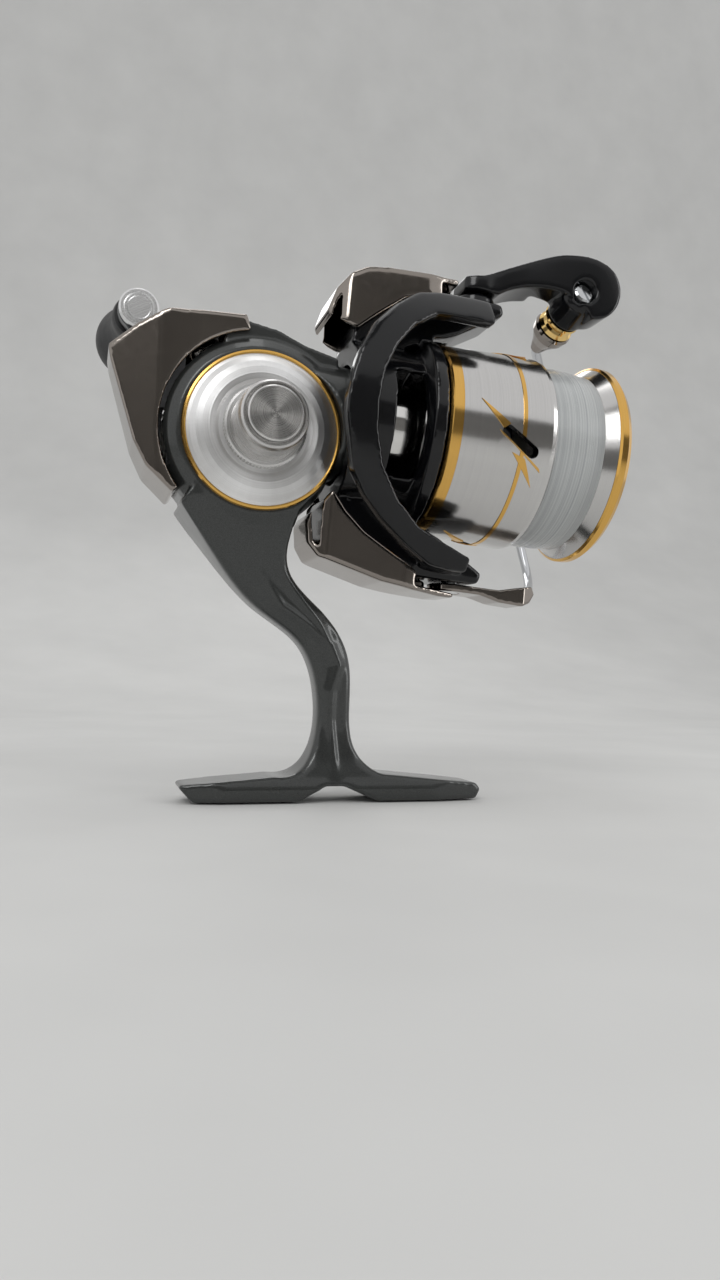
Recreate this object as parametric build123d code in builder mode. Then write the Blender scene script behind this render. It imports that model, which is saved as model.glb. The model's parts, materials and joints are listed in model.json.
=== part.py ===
from build123d import *
import math
import os

os.makedirs("parts", exist_ok=True)

# ------------------------------------------------------------------ driving dimensions (mm, degrees)
# The origin is the centre of the foot's underside. +X is forward, +Z up, +Y the handle side.
AXIS_HEIGHT = 80.8          # main shaft above the foot, straight over the origin
AXIS_TILT = 4.0             # the spool end dips towards the foot
RUN = 0.06                  # radial clearance of a running fit
GAP = 0.45                  # gap between pieces that sweep past each other
SEAT = 0.02                 # gap between a fixed piece and its seat

# drive side of the gearbox
DRIVE_STATION = -17.0       # drive axis, measured along the main shaft
DRIVE_DROP = 6.1            # drive axis below the main shaft
GEAR_TEETH = 52
PINION_TEETH = 10
FACE_RADIUS = 13.1          # mean radius of the drive gear's ring of teeth
FACE_WIDTH = 2.6
PINION_PITCH_RADIUS = 3.1
PINION_ADDENDUM = 0.45
PINION_DEDENDUM = 0.65
OSC_MODULE = 0.5            # spur pair that moves the spool in and out
OSC_PINION_TEETH = 20
OSC_GEAR_TEETH = 30
STROKE = 12.0               # spool travel, rest is its rear end

# housing
BODY_NEAR = 9.2             # side plate face, on the -Y side
BODY_FAR = 11.6             # handle side face
BODY_RADIUS = 20.6
CAVITY_RADIUS = 15.0
NECK_RADIUS = 12.3
NECK_FRONT = 3.2
COVER_SHELL = 1.6
RIDGE_HALF = 7.5            # half the width of the ridge on top of the body
PLATE_RADIUS = 15.5
RING_WIDTH = 0.9
CAP_REACH = 23.7            # handle cap's end face from the middle plane

# shafts and bearings
SHAFT_RADIUS = 1.75
SHAFT_REAR = -38.4
SHAFT_FRONT = 62.6
TUBE_RADIUS = 3.5           # drive shaft
TUBE_BORE = 2.25
DRIVE_BEARING_WALL = 2.0
PINION_NOSE_RADIUS = 3.4
PINION_BEARING_RADIUS = 7.0
BUSH_RADIUS = 3.5
ROD_RADIUS = 1.0
ROD_RISE = 6.3              # guide rod above the main shaft
COVER_SCREWS = ((-29.0, 14.7), (-39.0, -9.6))       # rear cover's screws: X, and height over the shaft

# clutch
SLEEVE_RADIUS = 10.9
SLEEVE_WALL = 1.5
CLUTCH_REAR = 5.0
CLUTCH_FRONT = 11.6
CLUTCH_BORE = 5.2
CLUTCH_SCREW_CIRCLE = 8.1
SMALL_SCREW_RADIUS = 0.6

# rotor
HUB_WALL_REAR = 17.8
HUB_WALL = 2.0
DRUM_RADIUS = 18.0
DRUM_WALL = 1.5
FLANGE_RADIUS = 21.0
INNER_RING_RADIUS = 18.6    # cylinder inside the spool's skirt
INNER_RING_FRONT = 34.0
HOOP_HALF_WIDTH = 22.2      # the two hoops run inside an ellipse round the main shaft
HOOP_HALF_HEIGHT = 36.0
HOOP_THICKNESS = 4.0
ARM_INNER_RADIUS = 27.2
ARM_OUTER = 31.4
COVER_WALL = 1.2
PIVOT_STATION = 30.0        # bail pivots, along the main shaft

# spool
SKIRT_REAR = 19.3
SKIRT_FRONT = 43.3
SKIRT_RADIUS = 21.5
SKIRT_REAR_RADIUS = 20.8
SKIRT_WALL = 1.3
SKIRT_RING_LENGTH = 2.7
MID_RING_STATION = 35.4
MID_RING_LENGTH = 0.9
LIP_FRONT = 60.4
LIP_RADIUS = 22.5
LIP_LENGTH = 3.0
LINE_RADIUS = 20.3
LINE_FRONT = 55.0
DRUM_CORE_RADIUS = 15.0
CHAMBER_RADIUS = 11.8
DRAG_KNOB_RADIUS = 11.0
DRAG_KNOB_FRONT = 67.4
SLOT_LENGTH = 9.4
SLOT_WIDTH = 2.7

# handle
CRANK_LENGTH = 48.4
CRANK_ANGLE = 117.6         # at rest, from +X towards +Z
KNOB_REAR = 54.6
KNOB_FRONT = 83.0
KNOB_RADIUS = 10.2
KNOB_NECK_RADIUS = 6.3
KNOB_PIN_RADIUS = 1.9
ARM_CAP_RADIUS = 5.1
ARM_CAP_FACE = 47.9

# bail
WIRE_RADIUS = 1.15
WIRE_STEPS = 13
ROLLER_RADIUS = 4.4
ROLLER_LENGTH = 3.4
ROLLER_TILT = 20.0          # roller axis, from -Y towards +Z

# ------------------------------------------------------------------ frames
drive_bearing_radius = TUBE_RADIUS + DRIVE_BEARING_WALL
tilt = math.radians(AXIS_TILT)
ahead = Vector(math.cos(tilt), 0, -math.sin(tilt))
above = Vector(math.sin(tilt), 0, math.cos(tilt))
across = Vector(0, 1, 0)
shaft_origin = Vector(0, 0, AXIS_HEIGHT)
main_axis = Axis(shaft_origin, ahead)
main_side = Plane(origin=shaft_origin, x_dir=ahead, z_dir=(0, -1, 0))      # (station, height)
drive_origin = shaft_origin + ahead * DRIVE_STATION - above * DRIVE_DROP
drive_axis = Axis(drive_origin, across)
drive_side = Plane(origin=drive_origin, x_dir=across, z_dir=(1, 0, 0))     # (Y, radius)
osc_distance = OSC_MODULE * (OSC_PINION_TEETH + OSC_GEAR_TEETH) / 2
osc_station = DRIVE_STATION - osc_distance
osc_origin = shaft_origin + ahead * osc_station - above * DRIVE_DROP
crank = math.radians(CRANK_ANGLE)
crank_dir = Vector(math.cos(crank), 0, math.sin(crank))
knob_origin = drive_origin + crank_dir * CRANK_LENGTH


upright = Plane(origin=(0, 0, AXIS_HEIGHT), x_dir=(1, 0, 0), z_dir=(0, -1, 0))       # (X, height over the shaft)


def station(s):
    """Plane square to the main shaft; x points up, y towards the side plate."""
    return Plane(origin=shaft_origin + ahead * s, x_dir=above, z_dir=ahead)


def level(h):
    """Plane square to the bail pivots; x points forward, y towards the handle."""
    return Plane(origin=shaft_origin + above * h, x_dir=ahead, z_dir=above)


def side_wall(y, origin=Vector(0, 0, 0)):
    """Upright plane at Y = y whose normal points to the handle; x is backward, y up."""
    return Plane(origin=Vector(origin.X, y, origin.Z), x_dir=(-1, 0, 0), z_dir=(0, 1, 0))


def place(s, h, y):
    """Point from its station, height over the main shaft and Y."""
    return shaft_origin + ahead * s + above * h + across * y


def outline(points, plane):
    """Flat face inside a closed polygon."""
    with BuildSketch(plane) as drawn:
        with BuildLine():
            Polyline(*points, close=True)
        make_face()
    return drawn.sketch


def turn(points, about="main", mode=Mode.ADD):
    """Revolve a polygon of (along, radius) points about a shaft, into the part being made."""
    plane, axis = {
        "main": (main_side, main_axis),
        "drive": (drive_side, drive_axis),
        "osc": (Plane(origin=osc_origin, x_dir=across, z_dir=(1, 0, 0)), Axis(osc_origin, across)),
        "knob": (Plane(origin=knob_origin, x_dir=across, z_dir=(1, 0, 0)), Axis(knob_origin, across)),
    }[about]
    revolve(outline(points, plane), axis=axis, mode=mode)


def ring(start, end, inner, outer, about="main", mode=Mode.ADD):
    """Plain ring or disc about a shaft."""
    turn([(start, inner), (end, inner), (end, outer), (start, outer)], about, mode)


def plate(points, plane, low, high, mode=Mode.ADD):
    """Polygon given thickness from one offset of its plane to another."""
    extrude(outline(points, plane.offset(low)), amount=high - low, mode=mode)


def bent_path(points):
    """Straight runs joined by tangent arcs as large as the runs allow."""
    radii = []
    for before, corner, after in zip(points, points[1:], points[2:]):
        run = min((corner - before).length, (after - corner).length)
        turn_angle = math.radians((corner - before).get_angle(after - corner))
        radii.append(0.45 * run / math.tan(turn_angle / 2))
    with BuildLine() as path:
        FilletPolyline(*points, radius=radii)
    return path.line, min(radii)


def bearing(start, end, inner, outer, about="main"):
    """Shielded ball bearing: two races with a set-back shield between them."""
    race = (outer - inner) * 0.28
    turn([(start, inner), (end, inner), (end, inner + race), (end - 0.25, inner + race), (end - 0.25, outer - race),
          (end, outer - race), (end, outer), (start, outer), (start, outer - race), (start + 0.25, outer - race),
          (start + 0.25, inner + race), (start, inner + race)], about)


def spur(teeth, plane, thickness, bore, start_angle=0.0):
    """Spur gear with straight-flanked teeth and a little backlash."""
    pitch = OSC_MODULE * teeth / 2
    root = pitch - 1.2 * OSC_MODULE
    tip = pitch + 0.8 * OSC_MODULE
    half_root = 0.40 * math.pi * OSC_MODULE / 2
    half_tip = 0.14 * math.pi * OSC_MODULE
    with BuildSketch(plane) as drawn:
        Circle(root)
        with PolarLocations(0, teeth, start_angle=start_angle):
            Polygon((root - 0.3, -half_root), (tip, -half_tip), (tip, half_tip), (root - 0.3, half_root), align=None)
        Circle(bore, mode=Mode.SUBTRACT)
    extrude(drawn.sketch, amount=thickness)


def save(builder, name):
    """Label a finished piece and write its STEP file."""
    builder.part.label = name
    export_step(builder.part, f"parts/{name}.step")


# ------------------------------------------------------------------ body, stem and foot
stem_top = AXIS_HEIGHT - 15
foot_notch = 3.1
with BuildPart() as stem:
    with BuildSketch(Plane.XZ):
        with BuildLine():
            rear = Spline((-12.1, 5.2), (-5.4, 7.4), (-3.1, 12.6), (-2.8, 22), (-6.4, 32.3),
                          (-16.3, 39.9), (-27.1, AXIS_HEIGHT - 28.8), (-33.2, AXIS_HEIGHT - 20.5))
            Line(rear @ 1, (-27, stem_top + 4))
            Line((-27, stem_top + 4), (-8.5, stem_top))
            front = Spline((-8.5, stem_top), (-9.9, AXIS_HEIGHT - 23.3), (-10.4, AXIS_HEIGHT - 31.3), (-2.2, 40), (3.7, 31.5),
                           (4.7, 20), (5.3, 12.1), (11.1, 5.7))
            Polyline(front @ 1, (33.5, 3.5), (34.7, 2.2), (33.6, 0), (10.1, 0), (3.0, foot_notch),
                     (-1.1, foot_notch), (-6.6, 0), (-28.7, 0), (-31.7, 3.2), (-30.8, 3.6), rear @ 0)
        make_face()
    extrude(amount=12, both=True)
    half_widths = [(0, 6.2), (2.6, 6.5), (5.0, 5.6), (9.0, 4.3), (14.0, 3.8), (34.0, 4.0),
                   (AXIS_HEIGHT - 36.8, 4.8), (AXIS_HEIGHT - 26.8, 7.2),
                   (AXIS_HEIGHT - 18.8, 9.0), (stem_top + 6, 9.2)]
    front_view = [(w, z) for z, w in half_widths] + [(-w, z) for z, w in reversed(half_widths)]
    extrude(outline(front_view, Plane.YZ), amount=60, both=True, mode=Mode.INTERSECT)
    # the ends of the foot narrow in plan
    for side in (1, -1):
        plate([(20, 7 * side), (36, 4.2 * side), (36, 12 * side), (20, 12 * side)], Plane.XY, -1, 6, Mode.SUBTRACT)
        plate([(-20, 7 * side), (-34, 4.2 * side), (-34, 12 * side), (-20, 12 * side)], Plane.XY, -1, 6,
              Mode.SUBTRACT)

wall_inner = BODY_FAR - 2.8           # inner face of the handle side wall
rod_front = DRIVE_STATION + 4.6
bush_rear = -13.3
bush_front = -11.3
osc_face = 6.5                        # near face of the oscillation gear
osc_thickness = 1.9
rim = 3.4
with BuildPart() as body_frame:
    turn([(-BODY_NEAR, 0), (-BODY_NEAR, 17.0), (-BODY_NEAR + 1.2, 18.8), (-BODY_NEAR + rim, BODY_RADIUS - 0.3),
          (-BODY_NEAR + 6, BODY_RADIUS), (BODY_FAR - 6, BODY_RADIUS), (BODY_FAR - rim, BODY_RADIUS - 0.5),
          (BODY_FAR - 1.0, 18.0), (BODY_FAR, 16.0), (BODY_FAR, 0)], "drive")
    ring(-9, NECK_FRONT, 0, NECK_RADIUS)
    # ridge from the neck to the top of the rear cover
    plate([(-27.5, 7.2), (-24.0, 17.2), (-21.5, 18.1), (-14.2, 16.7), (-8.2, 14.1), (-0.8, 12.1), (0, 3.2)],
          upright, -RIDGE_HALF, RIDGE_HALF)
    add(stem.part)
    # nothing of the body reaches into the sweep of the rotor
    turn([(-2.0, NECK_RADIUS + 0.1), (-2.2, 16.2), (-3.6, 18.4), (-5.7, 20.6), (-7.6, 22.8), (-7.6, 34),
          (40, 34), (40, NECK_RADIUS + 0.1)], mode=Mode.SUBTRACT)
    ring(NECK_FRONT, 40, 0, 34, mode=Mode.SUBTRACT)
    # flat seat for the side plate and its ring
    ring(-20, -BODY_NEAR, 0, PLATE_RADIUS + RING_WIDTH + 0.1, "drive", Mode.SUBTRACT)
    # gearbox, open towards the side plate and into the rear cover
    ring(-BODY_NEAR - 1, wall_inner, 0, CAVITY_RADIUS, "drive", Mode.SUBTRACT)
    plate([(-46, -15.2), (-20, -15.2), (-20, 9.2), (-46, 9.2)], main_side, -wall_inner, 6.4, Mode.SUBTRACT)
    # neck bore, pinion bearing seat
    ring(-9.5, NECK_FRONT + 1, 0, 4.4, mode=Mode.SUBTRACT)
    ring(-0.6, NECK_FRONT + 1, 0, PINION_BEARING_RADIUS + SEAT, mode=Mode.SUBTRACT)
    # handle side bearing seat
    ring(wall_inner - 1, BODY_FAR + 1, 0, drive_bearing_radius + SEAT, "drive", Mode.SUBTRACT)
    # pillar with the pinion's rear bush
    ring(bush_rear, bush_front, BUSH_RADIUS + SEAT, BUSH_RADIUS + 0.85)
    plate([(bush_rear, -1.0), (bush_front, -1.0), (bush_front, 2.4), (bush_rear, 2.4)], main_side,
          -wall_inner - 0.2, -BUSH_RADIUS - 0.2)
    # lug for the front end of the guide rod
    plate([(rod_front - 2.4, ROD_RISE - 1.8), (rod_front, ROD_RISE - 1.8), (rod_front, ROD_RISE + 1.8),
           (rod_front - 2.4, ROD_RISE + 1.8)], main_side, -wall_inner - 0.2, 1.7)
    with Locations(station(rod_front - 0.8)):
        with Locations((ROD_RISE, 0)):
            Hole(ROD_RADIUS + SEAT, depth=2.0)
    # stub that carries the oscillation gear
    ring(osc_face - 0.8, wall_inner + 0.2, 0, 1.5, "osc")
    # screw holes for the clutch housing
    with Locations(station(NECK_FRONT)):
        with PolarLocations(CLUTCH_SCREW_CIRCLE, 3, start_angle=60):
            Hole(SMALL_SCREW_RADIUS + SEAT, depth=4)
save(body_frame, "body_frame")

# ------------------------------------------------------------------ side plate and handle cap
plate_inner = -BODY_NEAR + 0.8
near_bearing_rear = -11.4
near_bearing_front = plate_inner - 0.2
with BuildPart() as side_plate:
    turn([(plate_inner, 14.9), (plate_inner, drive_bearing_radius + SEAT), (near_bearing_rear, drive_bearing_radius + SEAT),
          (near_bearing_rear, 4.4), (-12.4, 4.4), (-12.4, 6.9), (-11.5, 6.9), (-11.5, 9.2), (-11.85, 9.9), (-12.0, 11.0),
          (-11.75, 12.4), (-11.1, 13.7), (-10.3, 14.8), (-BODY_NEAR - 0.75, PLATE_RADIUS),
          (-BODY_NEAR - SEAT, PLATE_RADIUS), (-BODY_NEAR - SEAT, 14.9)], "drive")
save(side_plate, "side_plate")

with BuildPart() as side_plate_ring:
    outer = PLATE_RADIUS + RING_WIDTH
    turn([(-BODY_NEAR - SEAT, PLATE_RADIUS + SEAT), (-BODY_NEAR - 0.75, PLATE_RADIUS + SEAT),
          (-BODY_NEAR - 1.0, PLATE_RADIUS + 0.3), (-BODY_NEAR - 0.9, outer - 0.2), (-BODY_NEAR - 0.5, outer),
          (-BODY_NEAR - SEAT, outer)], "drive")
save(side_plate_ring, "side_plate_ring")

KNURLS = 72
cap_flange = 8.4
with BuildPart() as handle_cap:
    turn([(-11.52, 7.0), (-11.52, cap_flange), (-13.3, cap_flange), (-13.6, 7.9), (-13.7, 7.2), (-21.6, 6.9),
          (-22.7, 6.6), (-23.1, 6.2), (-23.1, 5.9), (-22.6, 5.7), (-22.6, 5.5), (-23.4, 5.4), (-CAP_REACH, 5.1),
          (-CAP_REACH, 0), (-20.5, 0), (-20.5, 4.5), (-12.5, 4.5), (-12.5, 6.95)], "drive")
    with BuildSketch(side_wall(-13.4, drive_origin)):
        with PolarLocations(cap_flange + 0.04, KNURLS):
            Rectangle(0.5, 0.34, rotation=45)
    extrude(amount=1.6, mode=Mode.SUBTRACT)
save(handle_cap, "handle_cap")

# ------------------------------------------------------------------ rear cover
cover_outline = [(-20.9, 18.9), (-36.8, 18.4), (-42.6, 15), (-48.1, 10.6), (-47.6, 7.7), (-42.8, -8.4),
                 (-40.2, -13.5), (-34.9, -18.6), (-20, -5.8), (-18, 9.2)]
cover_inner = [(-20.9, 16.6), (-36.0, 16.6), (-45.6, 9.9), (-41.4, -7.3), (-38.6, -12.6), (-34.0, -17.2),
               (-10, -10.8), (-10, 9.2)]
cover_far = BODY_FAR - 1.2
cover_near = BODY_NEAR - 0.6


def cover_plan(wall):
    """The cover's outline from above, narrowing towards its back, drawn in by a wall."""
    return [(-49 + wall, -5.0 + wall), (-38, -8.0 + wall), (-30, -cover_near + wall), (-10, -cover_near + wall),
            (-10, cover_far - wall), (-40, cover_far - wall), (-49 + wall, 6.2 - wall)]


with BuildPart() as cover_void:
    plate(cover_inner, upright, -cover_far, cover_near)
    extrude(outline(cover_plan(COVER_SHELL), Plane.XY), amount=AXIS_HEIGHT + 40, mode=Mode.INTERSECT)

with BuildPart() as rear_cover:
    plate(cover_outline, upright, -cover_far, cover_near)
    extrude(outline(cover_plan(0), Plane.XY), amount=AXIS_HEIGHT + 40, mode=Mode.INTERSECT)
    add(cover_void.part, mode=Mode.SUBTRACT)
    ring(-BODY_NEAR - 1, BODY_FAR + 1, 0, BODY_RADIUS + SEAT, "drive", Mode.SUBTRACT)
    plate([(-27.6, 6.2), (-24.05, 17.2), (-21.5, 18.2), (-14, 17), (-14, 6.2)], upright, -RIDGE_HALF - 0.05, RIDGE_HALF + 0.05, Mode.SUBTRACT)
    # socket for the rear end of the guide rod
    with BuildSketch(station(-46.6)):
        with Locations((ROD_RISE, 0)):
            Circle(2.0)
    extrude(amount=5.8)
    with Locations(station(-40.8)):
        with Locations((ROD_RISE, 0)):
            Hole(ROD_RADIUS + SEAT, depth=2.0)
    for x, rise in COVER_SCREWS:
        with BuildSketch(side_wall(0, Vector(x, 0, AXIS_HEIGHT + rise))):
            Circle(SMALL_SCREW_RADIUS + SEAT)
        extrude(amount=20, mode=Mode.SUBTRACT)
save(rear_cover, "rear_cover")

with BuildPart() as guide_rod:
    with BuildSketch(station(-42.6)):
        with Locations((ROD_RISE, 0)):
            Circle(ROD_RADIUS)
    extrude(amount=42.6 + rod_front - 1.0)
save(guide_rod, "guide_rod")

with BuildPart() as rear_cover_screws:
    for x, rise in COVER_SCREWS:
        centre = Vector(x, 0, AXIS_HEIGHT + rise)
        with BuildSketch(side_wall(cover_far - 2.0, centre)):
            Circle(SMALL_SCREW_RADIUS)
        extrude(amount=2.5)
        with BuildSketch(side_wall(cover_far + SEAT, centre)):
            Circle(1.4)
        extrude(amount=0.8)
        with BuildSketch(side_wall(cover_far + 0.4, centre)):
            Rectangle(3.2, 0.4, rotation=30)
        extrude(amount=1, mode=Mode.SUBTRACT)
save(rear_cover_screws, "rear_cover_screws")

# ------------------------------------------------------------------ fixed bearings and the clutch
front_seat = -0.58
with BuildPart() as pinion_front_bearing:
    bearing(front_seat, NECK_FRONT - 0.1, PINION_NOSE_RADIUS + RUN, PINION_BEARING_RADIUS)
save(pinion_front_bearing, "pinion_front_bearing")

journal = SHAFT_RADIUS + 0.5
with BuildPart() as pinion_rear_bush:
    ring(bush_rear, bush_front, journal + RUN, BUSH_RADIUS)
save(pinion_rear_bush, "pinion_rear_bush")

with BuildPart() as drive_bearings:
    bearing(near_bearing_rear + SEAT, near_bearing_front, TUBE_RADIUS + RUN, drive_bearing_radius, "drive")
    bearing(wall_inner + 0.1, BODY_FAR - 0.1, TUBE_RADIUS + RUN, drive_bearing_radius, "drive")
save(drive_bearings, "drive_bearings")

sleeve_rear = NECK_FRONT + SEAT
sleeve_inner = SLEEVE_RADIUS - SLEEVE_WALL
sleeve_front = 17.0
with BuildPart() as clutch_sleeve:
    ring(sleeve_rear, sleeve_front, sleeve_inner, SLEEVE_RADIUS)
    ring(sleeve_rear, sleeve_rear + 0.9, CLUTCH_BORE + 0.4, SLEEVE_RADIUS)
    ring(sleeve_rear, sleeve_rear + 1.2, SLEEVE_RADIUS - 0.5, NECK_RADIUS - 0.3)
    with Locations(station(sleeve_rear + 0.9)):
        with PolarLocations(CLUTCH_SCREW_CIRCLE, 3, start_angle=60):
            Hole(SMALL_SCREW_RADIUS + SEAT, depth=1.0)
save(clutch_sleeve, "clutch_sleeve")

with BuildPart() as clutch_screws:
    with BuildSketch(station(sleeve_rear + 0.9 + SEAT)):
        with PolarLocations(CLUTCH_SCREW_CIRCLE, 3, start_angle=60):
            Circle(SMALL_SCREW_RADIUS * 2)
    extrude(amount=0.7)
    with BuildSketch(station(NECK_FRONT - 3)):
        with PolarLocations(CLUTCH_SCREW_CIRCLE, 3, start_angle=60):
            Circle(SMALL_SCREW_RADIUS)
    extrude(amount=4.3)
    with BuildSketch(station(sleeve_rear + 1.35)):
        with PolarLocations(CLUTCH_SCREW_CIRCLE, 3, start_angle=60):
            RegularPolygon(0.6, 6)
    extrude(amount=1, mode=Mode.SUBTRACT)
save(clutch_screws, "clutch_screws")

ROLLERS = 12
roller_size = 0.95
roller_circle = CLUTCH_BORE + roller_size + 0.02
with BuildPart() as roller_clutch:
    ring(CLUTCH_REAR, CLUTCH_FRONT, roller_circle + roller_size + 0.05, sleeve_inner - SEAT)
    with BuildSketch(station(CLUTCH_REAR)):
        with PolarLocations(roller_circle, ROLLERS, start_angle=15):
            Rectangle(1.7, 0.8)
    extrude(amount=CLUTCH_FRONT - CLUTCH_REAR)
save(roller_clutch, "roller_clutch")

with BuildPart() as clutch_rollers:
    with BuildSketch(station(CLUTCH_REAR + 0.3)):
        with PolarLocations(roller_circle, ROLLERS):
            Circle(roller_size)
    extrude(amount=CLUTCH_FRONT - CLUTCH_REAR - 0.6)
save(clutch_rollers, "clutch_rollers")

hub_radius = 6.5
with BuildPart() as clutch_seal:
    turn([(14.0, hub_radius + 0.3), (14.5, hub_radius + 0.3), (15.2, hub_radius + 0.8), (15.2, sleeve_inner - SEAT),
          (12.0, sleeve_inner - SEAT), (12.0, sleeve_inner - 0.6), (14.0, sleeve_inner - 0.6)])
save(clutch_seal, "clutch_seal")

# ------------------------------------------------------------------ pinion and drive gear
ratio = GEAR_TEETH / PINION_TEETH
offset = math.sqrt(FACE_RADIUS ** 2 - DRIVE_DROP ** 2)
helix = math.atan((ratio * PINION_PITCH_RADIUS - offset) / DRIVE_DROP)
mesh_station = DRIVE_STATION + offset
teeth_rear = -9.4
teeth_front = -1.2
pinion_root = PINION_PITCH_RADIUS - PINION_DEDENDUM
pinion_tip = PINION_PITCH_RADIUS + PINION_ADDENDUM
twist = -math.degrees(math.tan(helix) / PINION_PITCH_RADIUS)
first_tooth = 90 + 180 / PINION_TEETH - twist * (mesh_station - teeth_rear)
nut_rear = HUB_WALL_REAR + HUB_WALL + 0.2
nose_front = 24.6
with BuildSketch(Plane(origin=shaft_origin + ahead * teeth_rear, x_dir=above, z_dir=ahead)) as pinion_teeth:
    Circle(pinion_root)
    with PolarLocations(0, PINION_TEETH, start_angle=first_tooth):
        Polygon((2.2, -0.55), (pinion_tip, -0.28), (pinion_tip, 0.28), (2.2, 0.55), align=None)
teeth_length = teeth_front - teeth_rear
toothed = Solid.extrude_linear_with_rotation(pinion_teeth.sketch.faces()[0], center=shaft_origin + ahead * teeth_rear,
                                             normal=ahead * teeth_length, angle=twist * teeth_length)
with BuildPart() as pinion_gear:
    add(toothed)
    ring(bush_rear - 0.2, teeth_rear + 0.1, 0, journal)
    ring(teeth_front - 0.1, nut_rear, 0, PINION_NOSE_RADIUS)
    ring(nut_rear - 0.1, nose_front, 0, 3.0)
    ring(bush_rear - 1, nose_front + 1, 0, SHAFT_RADIUS + RUN, mode=Mode.SUBTRACT)
save(pinion_gear, "pinion_gear")

gear_inner = FACE_RADIUS - FACE_WIDTH / 2
gear_outer = FACE_RADIUS + FACE_WIDTH / 2
gear_root = -(pinion_tip + 0.6)
gear_tip = -(pinion_root + 0.4)
contact_angle = math.degrees(math.atan2(DRIVE_DROP, offset))
with BuildPart() as drive_gear:
    ring(near_bearing_front + 0.3, -4.9, TUBE_RADIUS + SEAT, 6.0, "drive")
    turn([(-7.2, 5), (-7.2, 8), (gear_root - 1.8, gear_inner - 0.8), (gear_root - 1.8, gear_outer),
          (gear_root, gear_outer), (gear_root, gear_inner), (-5.6, gear_inner - 1.2), (-5.6, 5)], "drive")
    with BuildSketch(side_wall(-7.3, drive_origin)):
        with PolarLocations(8.4, 6):
            Circle(1.5)
    extrude(amount=2.5, mode=Mode.SUBTRACT)
    with BuildSketch(side_wall(gear_root - 0.05, drive_origin)):
        with PolarLocations(FACE_RADIUS, GEAR_TEETH, start_angle=180 + AXIS_TILT - contact_angle):
            Rectangle(FACE_WIDTH, 0.76, rotation=contact_angle - math.degrees(helix))
    extrude(amount=gear_tip - gear_root + 0.05, taper=7)
save(drive_gear, "drive_gear")

tube_near = near_bearing_rear - 0.9
tube_far = BODY_FAR + 0.6
with BuildPart() as drive_shaft:
    ring(tube_near, tube_far, TUBE_BORE, TUBE_RADIUS, "drive")
save(drive_shaft, "drive_shaft")

with BuildPart() as oscillation_pinion:
    spur(OSC_PINION_TEETH, Plane(origin=drive_origin + across * osc_face, x_dir=-ahead, z_dir=(0, 1, 0)),
         osc_thickness, TUBE_RADIUS + SEAT)
save(oscillation_pinion, "oscillation_pinion")

crank_orbit = STROKE / 2
pin_radius = 0.8
with BuildPart() as oscillation_gear:
    spur(OSC_GEAR_TEETH, Plane(origin=osc_origin + across * osc_face, x_dir=ahead, z_dir=(0, 1, 0)),
         osc_thickness, 1.5 + RUN, start_angle=180 / OSC_GEAR_TEETH)
    with BuildSketch(Plane(origin=osc_origin + across * (osc_face + 0.1), x_dir=ahead, z_dir=(0, -1, 0))):
        with Locations((-crank_orbit, 0)):
            Circle(pin_radius)
    extrude(amount=1.6)
save(oscillation_gear, "oscillation_gear")

# ------------------------------------------------------------------ main shaft and slider
with BuildPart() as main_shaft:
    ring(SHAFT_REAR, SHAFT_FRONT, 0, SHAFT_RADIUS)
    # flats for the keyed washers
    for side in (1, -1):
        plate([(48.5, -3), (SHAFT_FRONT + 1, -3), (SHAFT_FRONT + 1, 3), (48.5, 3)], main_side,
              1.35 if side > 0 else -3.0, 3.0 if side > 0 else -1.35, Mode.SUBTRACT)
    chamfer(main_shaft.edges().filter_by(GeomType.CIRCLE).group_by(Axis(shaft_origin, ahead))[0], 0.3)
save(main_shaft, "main_shaft")

slot_centre = osc_station - crank_orbit
slider_rear = slot_centre - 2.4
slider_front = slot_centre + 2.4
slot_plate_near = 2.3
slot_plate_far = osc_face + 0.1 - 1.6 - 0.3
with BuildPart() as slider_block:
    plate([(slider_rear, -3.0), (slider_front, -3.0), (slider_front, 8.0), (slider_rear, 8.0)], main_side,
          -slot_plate_far, 2.4)
    plate([(slider_rear, -DRIVE_DROP - 8.0), (slider_front, -DRIVE_DROP - 8.0), (slider_front, -2), (slider_rear, -2)],
          main_side, -slot_plate_far, -slot_plate_near)
    ring(slider_rear - 1, slider_front + 1, 0, SHAFT_RADIUS + SEAT, mode=Mode.SUBTRACT)
    with Locations(station(slider_front)):
        with Locations((ROD_RISE, 0)):
            Hole(ROD_RADIUS + RUN, depth=6)
    with BuildSketch(main_side):
        with Locations((slot_centre, -DRIVE_DROP)):
            SlotOverall(2 * crank_orbit + 2 * pin_radius + 1.0, 2 * pin_radius + 0.3, rotation=90)
    extrude(amount=-slot_plate_far - 1, mode=Mode.SUBTRACT)
save(slider_block, "slider_block")

with BuildPart() as slider_screw:
    ring(SHAFT_REAR - 1.1, SHAFT_REAR - SEAT, 0, 2.4)
    with BuildSketch(station(SHAFT_REAR - 1.1)):
        Rectangle(5, 0.5)
    extrude(amount=0.5, mode=Mode.SUBTRACT)
save(slider_screw, "slider_screw")

# ------------------------------------------------------------------ handle
shaft_head = 26.2
with BuildPart() as handle_shaft:
    ring(tube_near, shaft_head - 1.4, 0, TUBE_BORE - SEAT, "drive")
    turn([(shaft_head - 1.4, 0), (shaft_head - 1.4, 4.2), (shaft_head - 0.4, 4.2), (shaft_head, 3.6), (shaft_head, 0)],
         "drive")
    with BuildSketch(side_wall(shaft_head - 0.6, drive_origin)):
        Rectangle(9, 0.9)
    extrude(amount=1, mode=Mode.SUBTRACT)
save(handle_shaft, "handle_shaft")

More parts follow.
